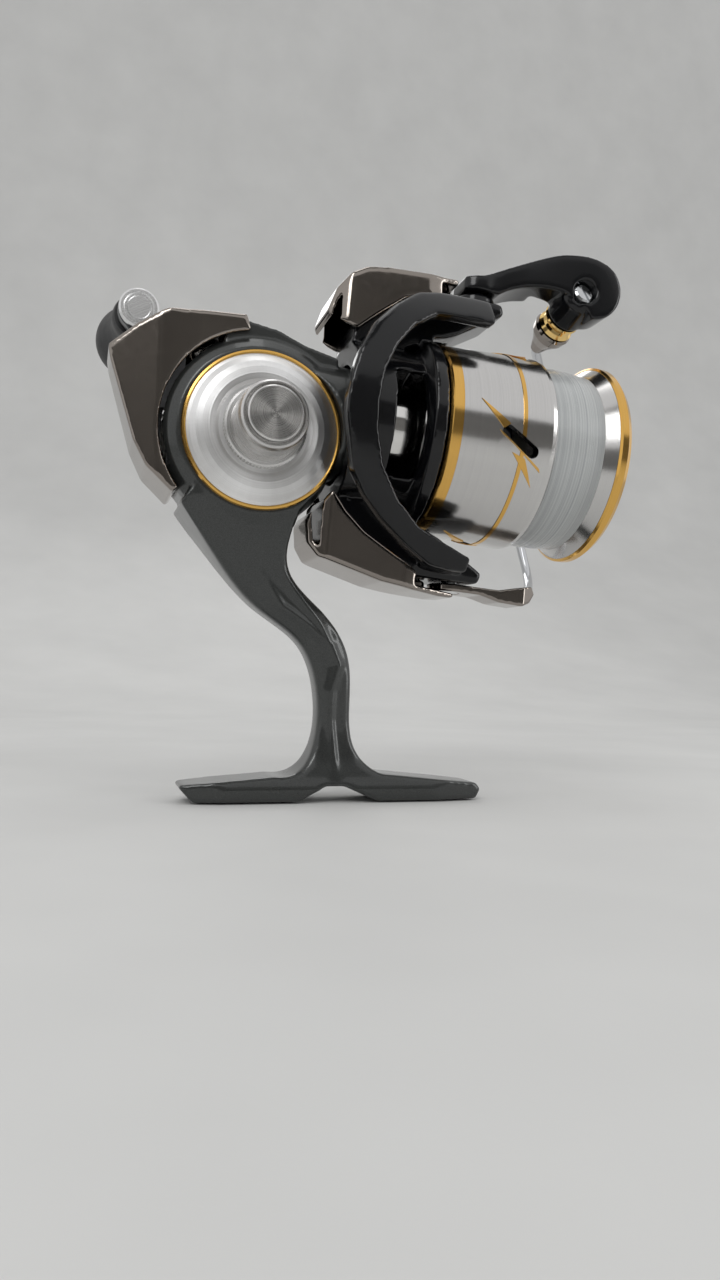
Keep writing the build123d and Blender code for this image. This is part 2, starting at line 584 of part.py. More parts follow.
collar_rear = tube_far + SEAT
hub_near = 17.0
with BuildPart() as handle_collar:
    turn([(collar_rear, TUBE_BORE + SEAT), (collar_rear, 5.0), (collar_rear + 0.6, 5.8), (14.6, 6.1), (hub_near - 0.6, 5.6),
          (hub_near - SEAT, 5.2), (hub_near - SEAT, TUBE_BORE + SEAT)], "drive")
    with BuildSketch(side_wall(13.2, drive_origin)):
        with PolarLocations(6.15, 36):
            Rectangle(0.5, 0.3, rotation=45)
    extrude(amount=2.6, mode=Mode.SUBTRACT)
save(handle_collar, "handle_collar")

arm_far = KNOB_REAR - 1.0
arm_near = arm_far - 4.4
crank_side = Plane(origin=drive_origin, x_dir=crank_dir, z_dir=crank_dir.cross(across))     # (reach, Y)
crank_face = Plane(origin=drive_origin, x_dir=crank_dir, z_dir=(0, 1, 0))
with BuildPart() as handle_arm:
    with BuildSketch(crank_side):
        with BuildLine():
            near = Spline((5.6, 17.8), (6.8, 22), (8.2, 30), (13, 37.6), (26, 42.6), (36, 46.8), (42, arm_near),
                          tangents=((0.3, 1), (1, 0.1)))
            Line(near @ 1, (CRANK_LENGTH + 5.4, arm_near))
            Line((CRANK_LENGTH + 5.4, arm_near), (CRANK_LENGTH + 5.4, arm_far))
            Line((CRANK_LENGTH + 5.4, arm_far), (40, arm_far))
            far = Spline((40, arm_far), (33, 50.6), (22, 46.4), (10, 42.4), (4.4, 34), (2.4, 27), (-1, 24.6),
                         tangents=((-1, -0.1), (-1, -0.2)))
            Polyline(far @ 1, (-1, 17.8), near @ 0)
        make_face()
    extrude(amount=8, both=True)
    with BuildSketch(crank_face.offset(10)):
        with BuildLine():
            Polyline((0, -5.6), (12, -4.6), (30, -3.6), (CRANK_LENGTH - 1.8, -4.8), (CRANK_LENGTH - 1.8, 4.8),
                     (30, 3.6), (12, 4.6), (0, 5.6), close=True)
        make_face()
        Circle(6.3)
        with Locations((CRANK_LENGTH, 0)):
            Circle(5.3)
    extrude(amount=50, mode=Mode.INTERSECT)
    turn([(hub_near, 0), (hub_near, 5.7), (hub_near + 0.6, 6.3), (24.0, 6.3), (24.8, 5.6), (24.8, 0)], "drive")
    ring(hub_near - 1, 25.5, 0, TUBE_BORE, "drive", Mode.SUBTRACT)
    ring(shaft_head - 1.4 - SEAT, 45, 0, 4.5, "drive", Mode.SUBTRACT)
    ring(arm_near - 1, arm_far + 1, 0, KNOB_PIN_RADIUS + SEAT, "knob", Mode.SUBTRACT)
save(handle_arm, "handle_arm")

pin_head = arm_near - SEAT
pin_far = KNOB_FRONT - 3.2
with BuildPart() as knob_pin:
    turn([(pin_head, 0), (pin_head, ARM_CAP_RADIUS), (pin_head - 0.8, ARM_CAP_RADIUS), (pin_head - 1.3, 4.6),
          (pin_head - 1.3, 3.9), (pin_head - 0.9, 3.6), (pin_head - 0.9, 3.1), (pin_head - 1.4, 2.8), (pin_head - 1.4, 0)],
         "knob")
    ring(pin_head - 0.1, pin_far, 0, KNOB_PIN_RADIUS, "knob")
save(knob_pin, "knob_pin")

bearing_length = 2.5
knob_inner_bearing = KNOB_REAR + 0.6
knob_outer_bearing = pin_far - 1.2 - bearing_length
knob_bearing_radius = 3.9
with BuildPart() as knob_grip:
    with BuildSketch(Plane(origin=knob_origin, x_dir=across, z_dir=(1, 0, 0))) as grip_profile:
        with BuildLine():
            side = Spline((KNOB_REAR, KNOB_NECK_RADIUS - 0.4), (KNOB_REAR + 1.2, KNOB_NECK_RADIUS),
                          (KNOB_REAR + 8, KNOB_NECK_RADIUS + 0.1), (KNOB_REAR + 17, KNOB_RADIUS - 1.2),
                          (KNOB_REAR + 23, KNOB_RADIUS), (KNOB_FRONT - 1.6, KNOB_RADIUS - 1.8),
                          (KNOB_FRONT, KNOB_NECK_RADIUS - 1))
            Polyline(side @ 1, (KNOB_FRONT, 3.0), (KNOB_REAR, 3.0), side @ 0)
        make_face()
    revolve(grip_profile.sketch, axis=Axis(knob_origin, across))
    ring(KNOB_REAR - 1, KNOB_REAR + 0.5, 0, 3.2, "knob", Mode.SUBTRACT)
    ring(knob_inner_bearing, knob_inner_bearing + bearing_length, 0, knob_bearing_radius, "knob", Mode.SUBTRACT)
    ring(knob_outer_bearing, KNOB_FRONT + 1, 0, knob_bearing_radius, "knob", Mode.SUBTRACT)
save(knob_grip, "knob_grip")

with BuildPart() as knob_bearings:
    for start in (knob_inner_bearing + 0.01, knob_outer_bearing + 0.01):
        bearing(start, start + bearing_length - 0.02, KNOB_PIN_RADIUS + RUN, knob_bearing_radius - SEAT, "knob")
save(knob_bearings, "knob_bearings")

with BuildPart() as knob_cap:
    turn([(pin_far + 0.6, 0), (pin_far + 0.6, 3.3), (pin_far - 1.1, 3.3), (pin_far - 1.1, knob_bearing_radius - SEAT),
          (KNOB_FRONT + 0.02, knob_bearing_radius - SEAT), (KNOB_FRONT + 0.02, 4.8), (KNOB_FRONT + 0.5, 4.4),
          (KNOB_FRONT + 0.7, 0)], "knob")
save(knob_cap, "knob_cap")

# ------------------------------------------------------------------ rotor
arm_half = 7.4
arm_end = 34.0
spool_sweep = SKIRT_RADIUS + 0.5
boss_top = 34.2
hoop_line = [(29.0, 28.6), (23.7, 28.6), (16.7, 28.2), (11.7, 26.8), (6.2, 22.1), (1.9, 17.1), (-1.1, 10.5),
             (-2.6, 4.3), (-2.9, 0.1), (-2.8, -2.6), (-1.6, -7.7), (-0.2, -13.2), (3.0, -17.9), (7.5, -22.0),
             (14.2, -26.4), (20.3, -29.5), (25.2, -30.0), (29.0, -30.0), (29.0, -27.0), (26.2, -26.1), (20.6, -24.2),
             (15.7, -22.3), (10.3, -17.8), (6.0, -11.8), (4.0, -5.3), (3.6, 0.5), (4.4, 6.8), (6.8, 12.6),
             (10.6, 18.0), (15.7, 21.9), (20.1, 22.3), (29.0, 22.4)]
with BuildPart() as hoops:
    plate(hoop_line, main_side, -30, 30)
    with BuildSketch(station(-6)):
        Ellipse(HOOP_HALF_HEIGHT, HOOP_HALF_WIDTH)
        Ellipse(HOOP_HALF_HEIGHT - HOOP_THICKNESS, HOOP_HALF_WIDTH - HOOP_THICKNESS, mode=Mode.SUBTRACT)
    extrude(amount=44, mode=Mode.INTERSECT)

with BuildPart() as rotor:
    ring(2.5, 18.0, DRUM_RADIUS - DRUM_WALL, DRUM_RADIUS)
    ring(0.5, 2.6, NECK_RADIUS + 0.6, DRUM_RADIUS)
    turn([(14.8, DRUM_RADIUS - 0.3), (16.0, FLANGE_RADIUS), (18.7, FLANGE_RADIUS), (18.7, DRUM_RADIUS - 0.3)])
    # arms towards the two bail pivots
    plate([(0.6, 17.0), (1.0, 22.0), (3.0, 27.0), (8.0, 30.4), (12.0, ARM_OUTER), (arm_end, ARM_OUTER),
           (arm_end + 0.8, 29.0), (31.5, 27.0), (24.2, 22.5), (18.0, 20.0), (12.0, 17.0)], main_side, -arm_half, arm_half)
    plate([(-1.6, -17.0), (-2.4, -19.0), (-1.8, -24.5), (1.0, -27.6), (6.0, -29.4), (12.0, -ARM_OUTER),
           (arm_end, -ARM_OUTER), (arm_end + 0.8, -29.0), (31.5, -27.0), (24.2, -22.5), (18.0, -20.0), (8.0, -17.0)],
          main_side, -arm_half, arm_half)
    add(hoops.part)
    ring(18.7, 70, 0, spool_sweep, mode=Mode.SUBTRACT)
    ring(2.6, 17.9, 0, DRUM_RADIUS - DRUM_WALL, mode=Mode.SUBTRACT)
    # clearance round the body behind
    turn([(-30, 0), (0.5, 0), (0.5, 13.0), (-0.2, 13.4), (-1.6, 16.2), (-3.0, 18.4), (-5.1, 20.6), (-7.0, 22.8),
          (-30, 22.8)], mode=Mode.SUBTRACT)
    # windows on both sides
    plate([(8.6, -12.1), (15.0, -12.1), (15.0, 9.8), (8.6, 9.8)], main_side, -26, 26, Mode.SUBTRACT)
    ring(13.5, HUB_WALL_REAR + 0.1, PINION_NOSE_RADIUS + SEAT, hub_radius)
    ring(HUB_WALL_REAR, HUB_WALL_REAR + HUB_WALL, PINION_NOSE_RADIUS + SEAT, INNER_RING_RADIUS - 0.2)
    ring(HUB_WALL_REAR, INNER_RING_FRONT, INNER_RING_RADIUS - 1.5, INNER_RING_RADIUS)
    # bosses and threaded holes for the bail pivots
    with BuildSketch(level(ARM_OUTER - 2)):
        with Locations((PIVOT_STATION, 0)):
            Circle(4.6)
    extrude(amount=boss_top - ARM_OUTER + 2)
    for low, high in ((ARM_OUTER - 3.5, boss_top + 1), (-ARM_OUTER - 1, -ARM_OUTER + 3.4)):
        with BuildSketch(level(low)):
            with Locations((PIVOT_STATION, 0)):
                Circle(1.5 + SEAT)
        extrude(amount=high - low, mode=Mode.SUBTRACT)
    # channel for the bail spring and holes for the arm cover screws
    plate([(6.4, 27.6), (18.0, 27.6), (18.0, ARM_OUTER + 1), (6.4, ARM_OUTER + 1)], main_side, -4.4, -1.4,
          Mode.SUBTRACT)
    for side in (1, -1):
        with BuildSketch(level(side * (spool_sweep - 1))):
            with Locations((22.0, 0)):
                Circle(1.8)
        extrude(amount=side * 3.2, mode=Mode.SUBTRACT)
        with BuildSketch(level(side * (spool_sweep - 1))):
            with Locations((22.0, 0)):
                Circle(0.9 + SEAT)
        extrude(amount=side * 12, mode=Mode.SUBTRACT)
save(rotor, "rotor")

with BuildPart() as clutch_inner:
    ring(CLUTCH_REAR - 0.4, 13.4, PINION_NOSE_RADIUS + SEAT, CLUTCH_BORE - 0.05)
save(clutch_inner, "clutch_inner")

with BuildPart() as rotor_nut:
    with BuildSketch(station(nut_rear)):
        RegularPolygon(5.6, 6)
        Circle(3.0 + SEAT, mode=Mode.SUBTRACT)
    extrude(amount=3.4)
save(rotor_nut, "rotor_nut")

with BuildPart() as shaft_bearing:
    bearing(nose_front + SEAT, nose_front + 2.0, SHAFT_RADIUS + RUN, 4.0)
save(shaft_bearing, "shaft_bearing")

cover_half = 8.8
upper_cover = [(-4.0, 20.6), (-5.2, 22.5), (-3.7, 27.6), (-1.2, 30.7), (2.2, 32.7), (6.5, 33.4), (15.5, 34.0),
               (23.6, 34.9), (23.6, 29.5), (16.4, 29.1), (11.2, 27.7), (5.6, 23.0), (1.2, 18.9)]
upper_void = [(-4.8, 16.0), (-3.9, 22.6), (-2.6, 27.0), (-0.3, 29.7), (2.8, 31.5), (6.7, 32.2), (15.6, 32.7),
              (25.0, 33.7), (25.0, 16.0)]
lower_cover = [(-4.2, -19.6), (-5.6, -22.6), (-4.9, -27.1), (-2.6, -29.9), (3.2, -31.4), (11.5, -33.5), (19.0, -34.4),
               (25.9, -34.9), (29.3, -34.8), (29.3, -33.8), (19.4, -33.2), (19.4, -30.2), (14.0, -27.4), (7.0, -23.4),
               (2.4, -19.4), (-0.6, -15.6), (-1.8, -16.6)]
lower_void = [(-4.6, -15.0), (-4.3, -22.6), (-3.7, -26.6), (-1.9, -28.8), (3.6, -30.2), (11.7, -32.3), (19.0, -33.2),
              (30.0, -33.8), (30.0, -15.0)]
for name, shell, void, side in (("arm_cover_upper", upper_cover, upper_void, 1),
                                ("arm_cover_lower", lower_cover, lower_void, -1)):
    with BuildPart() as arm_cover:
        plate(shell, main_side, -cover_half, cover_half)
        plan = [(-6, -6.0), (-1, -cover_half), (16, -cover_half), (31, -4.6), (31, 4.6), (16, cover_half),
                (-1, cover_half), (-6, 6.0)]
        extrude(outline(plan, level(side * 10)), amount=side * 30, mode=Mode.INTERSECT)
        plate(void, main_side, -arm_half - 0.3, arm_half + 0.3, Mode.SUBTRACT)
        turn([(-30, 0), (0.5, 0), (0.5, 13.0), (-0.2, 13.4), (-1.6, 16.2), (-3.0, 18.4), (-5.1, 20.6), (-7.0, 22.8),
              (-30, 22.8)], mode=Mode.SUBTRACT)
        with BuildSketch(level(side * (ARM_OUTER + SEAT))):
            with Locations((22.0, 0)):
                Circle(2.0)
                Circle(0.9, mode=Mode.SUBTRACT)
        extrude(amount=side * 2.4)
    save(arm_cover, name)

with BuildPart() as arm_cover_screws:
    for side in (1, -1):
        with BuildSketch(level(side * (spool_sweep + 0.9))):
            with Locations((22.0, 0)):
                Circle(1.6)
        extrude(amount=side * (1.3 - SEAT))
        with BuildSketch(level(side * (spool_sweep + 2.0))):
            with Locations((22.0, 0)):
                Circle(0.9 - SEAT)
        extrude(amount=side * (ARM_OUTER - spool_sweep - 0.4))
save(arm_cover_screws, "arm_cover_screws")

spring_origin = place(7.4, 29.9, 2.9)
with BuildPart() as bail_spring:
    with BuildLine():
        coil = Helix(pitch=1.0, height=9.4, radius=1.1, center=spring_origin, direction=ahead)
    with BuildSketch(Plane(origin=coil @ 0, z_dir=coil % 0)):
        Circle(0.22)
    sweep(is_frenet=True)
save(bail_spring, "bail_spring")

# ------------------------------------------------------------------ bail
roller_centre = place(52.16, 33.91, 1.0)
lean = math.radians(ROLLER_TILT)
roller_dir = (ahead * 0.08 + above * math.sin(lean) - across * math.cos(lean)).normalized()
roller_axis = Axis(roller_centre, roller_dir)
roller_side = Plane(origin=roller_centre, x_dir=roller_dir, z_dir=roller_dir.cross(ahead))


def roller_turn(points, mode=Mode.ADD):
    """Revolve (along, radius) points about the line roller's axis."""
    revolve(outline(points, roller_side), axis=roller_axis, mode=mode)


bail_bottom = boss_top + 0.25
eye_start = 2.2
eye_end = 9.4
with BuildPart() as bail_arm:
    with BuildSketch(main_side):
        with BuildLine():
            top = Spline((30.0, 37.9), (36.5, 41.3), (41.7, 43.5), (47.3, 45.3), (52.5, 45.7), (57.7, 44.6),
                         (61.2, 41.5), (61.5, 36.2), (58.6, 32.6), (55.0, 31.6))
            low = Spline(top @ 1, (50.4, 36.0), (43.7, 37.4), (38.7, 36.8), (34.0, bail_bottom))
            Polyline(low @ 1, (26.0, bail_bottom), (26.0, 37.6), top @ 0)
        make_face()
    extrude(amount=12, both=True)
    with BuildSketch(level(20)):
        with BuildLine():
            near = Spline((PIVOT_STATION, -5.6), (36, -5.4), (44, -7.4), (53, -9.4), (63, -9.6))
            Line(near @ 1, (63, -0.6))
            far = Spline((63, -0.6), (52, -0.2), (44, 2.6), (36, 5.0), (PIVOT_STATION, 5.6))
            Line(far @ 1, near @ 0)
        make_face()
        with Locations((PIVOT_STATION, 0)):
            Circle(5.6)
    extrude(amount=40, mode=Mode.INTERSECT)
    # eye for the roller screw, clearance round the roller and the line
    roller_turn([(eye_start, 0), (eye_start, 4.6), (eye_end - 1, 4.4), (eye_end, 3.6), (eye_end, 0)])
    roller_turn([(-12, 0), (-12, 9.5), (eye_start, 9.5), (eye_start, 0)], Mode.SUBTRACT)
    roller_turn([(eye_start - 1, 0), (eye_start - 1, 1.5 + SEAT), (eye_end - 0.6, 1.5 + SEAT), (eye_end - 0.6, 2.6),
                 (eye_end + 6, 2.6), (eye_end + 6, 0)], Mode.SUBTRACT)
    with BuildSketch(level(bail_bottom - 1)):
        with Locations((PIVOT_STATION, 0)):
            Circle(2.2 + SEAT)
    extrude(amount=10, mode=Mode.SUBTRACT)
save(bail_arm, "bail_arm")

roller_half = ROLLER_LENGTH / 2
with BuildPart() as line_roller:
    roller_turn([(-roller_half, 3.0), (-roller_half, 4.1), (-roller_half + 0.3, ROLLER_RADIUS), (-0.6, 3.8), (0.2, 3.65),
                 (roller_half - 0.4, ROLLER_RADIUS), (roller_half, 4.2), (roller_half, 3.0)])
save(line_roller, "line_roller")

with BuildPart() as roller_bearing:
    roller_turn([(-roller_half + 0.1, 1.5 + RUN), (roller_half - 0.1, 1.5 + RUN), (roller_half - 0.1, 2.98),
                 (-roller_half + 0.1, 2.98)])
save(roller_bearing, "roller_bearing")

with BuildPart() as roller_screw:
    roller_turn([(-6.4, 0), (-6.4, 1.5), (eye_end - 0.6 + SEAT, 1.5), (eye_end - 0.6 + SEAT, 2.4),
                 (eye_end + 0.7, 2.4), (eye_end + 1.0, 2.0), (eye_end + 1.0, 0)])
    with BuildSketch(Plane(origin=roller_centre + roller_dir * (eye_end + 0.5), x_dir=ahead, z_dir=roller_dir)):
        Rectangle(0.7, 6, rotation=25)
    extrude(amount=1, mode=Mode.SUBTRACT)
save(roller_screw, "roller_screw")

wire_start = roller_centre - roller_dir * 10.6
wire_points = [wire_start, place(57.8, 28.2, 19.0), place(62.4, 24.2, 28.5), place(64.6, 12.0, 38.0),
               place(63.2, 0.0, 41.0), place(63.8, -12.0, 37.6), place(62.6, -23.2, 27.6), place(56.0, -29.6, 14.6),
               place(49.2, -32.0, 6.0), place(46.2, -32.2, 2.0)]
with BuildPart() as wire_end:
    roller_turn([(-roller_half - 0.3, 1.5 + SEAT), (-roller_half - 0.3, 4.3), (-roller_half - 0.9, 4.7), (-4.4, 4.3),
                 (-7.4, 2.6), (-10.2, 1.5), (-10.2, WIRE_RADIUS + SEAT), (-6.5, WIRE_RADIUS + SEAT),
                 (-6.5, 1.5 + SEAT)])
save(wire_end, "wire_end")

bow = Spline(*wire_points, tangents=(-roller_dir, (-0.55, -0.83, -0.1)))
wire_route = [wire_start + roller_dir * 4.0] + [bow @ (step / WIRE_STEPS) for step in range(WIRE_STEPS + 1)]
wire_path, wire_bend = bent_path(wire_route)
with BuildPart() as bail_wire:
    with BuildSketch(Plane(origin=wire_route[0], z_dir=-roller_dir)):
        Circle(WIRE_RADIUS)
    sweep(path=wire_path)
save(bail_wire, "bail_wire")

holder_top = -ARM_OUTER - 0.25
holder_low = -33.3
with BuildPart() as bail_holder:
    plate([(24.6, holder_top), (40.6, holder_top), (44.6, -30.7), (49.4, -29.7), (50.3, -31.4), (49.0, -33.6),
           (46.9, -34.6), (41.0, -34.4), (36.0, holder_low), (24.6, holder_low)], main_side, -5.4, 5.4)
    with BuildSketch(level(-50)):
        with BuildLine():
            Polyline((PIVOT_STATION, -5.0), (38, -4.2), (47, -3.4), (51, -1.6), (51, 3.2), (47, 5.2), (38, 4.6),
                     (PIVOT_STATION, 5.0), close=True)
        make_face()
        with Locations((PIVOT_STATION, 0)):
            Circle(5.0)
    extrude(amount=30, mode=Mode.INTERSECT)
    with BuildSketch(level(-40)):
        with Locations((PIVOT_STATION, 0)):
            Circle(2.2 + SEAT)
    extrude(amount=12, mode=Mode.SUBTRACT)
    add(bail_wire.part, mode=Mode.SUBTRACT)
save(bail_holder, "bail_holder")

with BuildPart() as bail_pivots:
    # shouldered screws; their heads sit in the bail arm and the holder
    for inner, outer, side in ((ARM_OUTER - 3.2, bail_bottom + 2.6, 1), (ARM_OUTER - 3.0, 33.2, -1)):
        with BuildSketch(level(side * inner)):
            with Locations((PIVOT_STATION, 0)):
                Circle(1.5)
        extrude(amount=side * (outer - inner))
        seat = (boss_top if side > 0 else ARM_OUTER) + SEAT
        with BuildSketch(level(side * seat)):
            with Locations((PIVOT_STATION, 0)):
                Circle(2.2 - 0.04)
        extrude(amount=side * (outer - seat))
save(bail_pivots, "bail_pivots")

# ------------------------------------------------------------------ spool
skirt_inner = SKIRT_REAR_RADIUS - SKIRT_WALL
skirt_body_rear = SKIRT_REAR + SKIRT_RING_LENGTH
mid_half = MID_RING_LENGTH / 2
mid_groove = SKIRT_RADIUS - 0.7
hub_rear = 45.95
web_rear = 47.6
web_front = 49.3
spool_bore = 4.5
collar_radius = SHAFT_RADIUS + 0.5


def slot_cutter(angle):
    """Slanted slot through the skirt, at an angle round the main shaft from the top."""
    turned = math.radians(angle)
    outward = above * math.cos(turned) - across * math.sin(turned)
    with BuildPart(mode=Mode.PRIVATE) as cutter:
        with BuildSketch(Plane(origin=place(34.8, 0, 0), x_dir=ahead, z_dir=outward)):
            SlotOverall(SLOT_LENGTH, SLOT_WIDTH, rotation=-31)
        extrude(amount=30)
    return cutter.part


slots = [slot_cutter(97 + 90 * quarter) for quarter in range(4)]
with BuildPart() as spool_body:
    turn([(skirt_body_rear, skirt_inner), (skirt_body_rear, SKIRT_REAR_RADIUS), (35.0, SKIRT_RADIUS - 0.1),
          (41.8, SKIRT_RADIUS + 0.1), (42.7, SKIRT_RADIUS - 0.1), (SKIRT_FRONT, SKIRT_RADIUS - 0.7),
          (SKIRT_FRONT, DRUM_CORE_RADIUS), (LINE_FRONT, DRUM_CORE_RADIUS), (LINE_FRONT, LINE_RADIUS - 0.3),
          (LIP_FRONT - LIP_LENGTH - SEAT, LIP_RADIUS - 0.6), (LIP_FRONT - LIP_LENGTH - SEAT, LIP_RADIUS - 1.9),
          (LIP_FRONT - 0.6, LIP_RADIUS - 2.1), (LIP_FRONT - 1.0, LIP_RADIUS - 3.0), (57.0, 14.0), (57.0, CHAMBER_RADIUS),
          (web_front, CHAMBER_RADIUS), (web_front, spool_bore + SEAT), (web_front - 2.4, spool_bore + SEAT),
          (web_front - 2.4, collar_radius + 0.15), (hub_rear, collar_radius + 0.15), (hub_rear, 6.0), (web_rear, 6.0), (web_rear, DRUM_CORE_RADIUS - 1.8),
          (SKIRT_FRONT - 1.6, DRUM_CORE_RADIUS - 1.8), (SKIRT_FRONT - 1.6, SKIRT_RADIUS - SKIRT_WALL - 0.4),
          (38.0, skirt_inner)])
    ring(MID_RING_STATION - mid_half, MID_RING_STATION + mid_half, mid_groove, 30, mode=Mode.SUBTRACT)
    for slot in slots:
        add(slot, mode=Mode.SUBTRACT)
save(spool_body, "spool_body")

with BuildPart() as spool_rear_ring:
    turn([(SKIRT_REAR, skirt_inner + 0.3), (SKIRT_REAR, SKIRT_REAR_RADIUS - 0.6), (SKIRT_REAR + 0.5, SKIRT_REAR_RADIUS),
          (skirt_body_rear - SEAT, SKIRT_REAR_RADIUS), (skirt_body_rear - SEAT, skirt_inner + 0.3)])
save(spool_rear_ring, "spool_rear_ring")

with BuildPart() as spool_mid_ring:
    ring(MID_RING_STATION - mid_half + SEAT, MID_RING_STATION + mid_half - SEAT, mid_groove + SEAT,
         SKIRT_RADIUS + 0.05)
    for slot in slots:
        add(slot, mode=Mode.SUBTRACT)
save(spool_mid_ring, "spool_mid_ring")

with BuildPart() as spool_lip:
    turn([(LIP_FRONT - LIP_LENGTH, LIP_RADIUS - 1.86), (LIP_FRONT - LIP_LENGTH, LIP_RADIUS - 0.5),
          (LIP_FRONT - LIP_LENGTH + 0.4, LIP_RADIUS), (LIP_FRONT - 1.2, LIP_RADIUS), (LIP_FRONT, LIP_RADIUS - 1.0),
          (LIP_FRONT, LIP_RADIUS - 1.9), (LIP_FRONT - 0.6, LIP_RADIUS - 2.08)])
save(spool_lip, "spool_lip")

with BuildPart() as fishing_line:
    turn([(SKIRT_FRONT + SEAT, DRUM_CORE_RADIUS + SEAT), (SKIRT_FRONT + SEAT, LINE_RADIUS - 0.1),
          (SKIRT_FRONT + 4, LINE_RADIUS + 0.1), (LINE_FRONT - 4, LINE_RADIUS), (LINE_FRONT - SEAT, LINE_RADIUS - 0.35),
          (LINE_FRONT - SEAT, DRUM_CORE_RADIUS + SEAT)])
save(fishing_line, "fishing_line")

with BuildPart() as line_clip:
    clip_plane = Plane(origin=place(39.0, 0, SKIRT_RADIUS + 0.08), x_dir=ahead, z_dir=(0, 1, 0))
    with BuildSketch(clip_plane):
        SlotOverall(4.4, 2.4)
    extrude(amount=0.7)
save(line_clip, "line_clip")

with BuildPart() as spool_bearing:
    bearing(web_front - 2.36, web_front - 0.06, collar_radius + RUN, spool_bore)
save(spool_bearing, "spool_bearing")

with BuildPart() as click_gear:
    with BuildSketch(station(42.4)):
        Circle(8.0)
        with PolarLocations(8.0, 36):
            Circle(0.3, mode=Mode.SUBTRACT)
        Circle(SHAFT_RADIUS + SEAT, mode=Mode.SUBTRACT)
    extrude(amount=1.6)
    ring(43.9, hub_rear - 0.3, SHAFT_RADIUS + SEAT, 3.6)
    ring(hub_rear - 0.4, web_front - 0.05, SHAFT_RADIUS + SEAT, collar_radius)
save(click_gear, "click_gear")

washer = 0.75
stack_gap = 0.05
with BuildPart() as drag_friction_washers:
    for layer in range(3):
        start = web_front + stack_gap + layer * 2 * (washer + stack_gap)
        ring(start, start + washer, 4.8, CHAMBER_RADIUS - 0.3)
save(drag_friction_washers, "drag_friction_washers")

with BuildPart() as drag_metal_washers:
    for layer in range(3):
        start = web_front + 2 * stack_gap + washer + layer * 2 * (washer + stack_gap)
        ring(start, start + washer, 0, CHAMBER_RADIUS - 1.3)
    plate([(web_front, -SHAFT_RADIUS - SEAT), (LIP_FRONT, -SHAFT_RADIUS - SEAT), (LIP_FRONT, SHAFT_RADIUS + SEAT),
           (web_front, SHAFT_RADIUS + SEAT)], main_side, -1.35 - SEAT, 1.35 + SEAT, Mode.SUBTRACT)
save(drag_metal_washers, "drag_metal_washers")

stack_front = web_front + 6 * (washer + stack_gap)
with BuildPart() as drag_retainer:
    with BuildSketch(station(stack_front + 0.1)):
        Circle(CHAMBER_RADIUS - SEAT)
        Circle(CHAMBER_RADIUS - 0.9, mode=Mode.SUBTRACT)
        with Locations((0, CHAMBER_RADIUS)):
            Rectangle(2.2, 3, mode=Mode.SUBTRACT)
    extrude(amount=0.5)
save(drag_retainer, "drag_retainer")

knob_start = stack_front + 1.0
with BuildPart() as drag_spring:
    with BuildLine():
        coil = Helix(pitch=0.9, height=2.4, radius=5.0, center=shaft_origin + ahead * (stack_front + 0.65),
                     direction=ahead)
    with BuildSketch(Plane(origin=coil @ 0, z_dir=coil % 0)):
        Circle(0.32)
    sweep(is_frenet=True)
save(drag_spring, "drag_spring")

nut_start = stack_front + 3.2
nut_length = 3.6
knob_face = DRAG_KNOB_FRONT - 1.8
with BuildPart() as drag_nut:
    with BuildSketch(station(nut_start)):
        RegularPolygon(4.2, 6)
        Circle(SHAFT_RADIUS + RUN, mode=Mode.SUBTRACT)
    extrude(amount=nut_length)
save(drag_nut, "drag_nut")

with BuildPart() as drag_knob:
    turn([(knob_start, 9.6), (knob_start, DRAG_KNOB_RADIUS - 0.3), (knob_start + 0.3, DRAG_KNOB_RADIUS),
          (knob_face - 2.4, DRAG_KNOB_RADIUS), (knob_face - 0.7, DRAG_KNOB_RADIUS - 0.8), (knob_face, DRAG_KNOB_RADIUS - 2.4),
          (knob_face, 0), (knob_face - 1.6, 0), (knob_face - 1.6, 9.0), (knob_face - 3.0, 9.6)])
    ring(nut_start + 0.2, knob_face - 1.5, 4.0, 6.4)
    with BuildSketch(station(nut_start - 1)):
        RegularPolygon(4.24, 6)
    extrude(amount=nut_length + 1.1, mode=Mode.SUBTRACT)
    # grip bar across the face, and grooves round the rim
    with BuildSketch(station(knob_face - 0.2)):
        SlotOverall(16.4, 4.8)
    extrude(amount=DRAG_KNOB_FRONT - knob_face + 0.2, taper=12)
    with BuildSketch(station(knob_start + 2.2)):
        with PolarLocations(DRAG_KNOB_RADIUS + 0.25, 24):
            Circle(0.6)
    extrude(amount=5.2, mode=Mode.SUBTRACT)
save(drag_knob, "drag_knob")
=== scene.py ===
import json
import math

import bmesh
import bpy
import numpy as np
from mathutils import Matrix, Vector


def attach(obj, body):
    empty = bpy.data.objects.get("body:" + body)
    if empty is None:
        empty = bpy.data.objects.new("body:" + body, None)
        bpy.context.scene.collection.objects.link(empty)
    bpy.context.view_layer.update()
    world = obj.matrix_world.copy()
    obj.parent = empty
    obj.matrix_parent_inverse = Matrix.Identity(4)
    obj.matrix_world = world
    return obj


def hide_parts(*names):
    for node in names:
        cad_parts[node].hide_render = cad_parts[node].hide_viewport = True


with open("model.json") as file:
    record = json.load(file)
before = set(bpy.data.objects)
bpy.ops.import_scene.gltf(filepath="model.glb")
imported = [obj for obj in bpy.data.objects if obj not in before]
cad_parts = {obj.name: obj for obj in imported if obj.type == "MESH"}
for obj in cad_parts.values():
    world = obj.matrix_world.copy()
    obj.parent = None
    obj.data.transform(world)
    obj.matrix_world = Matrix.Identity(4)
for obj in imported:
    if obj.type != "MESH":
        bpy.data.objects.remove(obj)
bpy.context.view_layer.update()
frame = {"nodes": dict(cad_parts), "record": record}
MM = 0.001

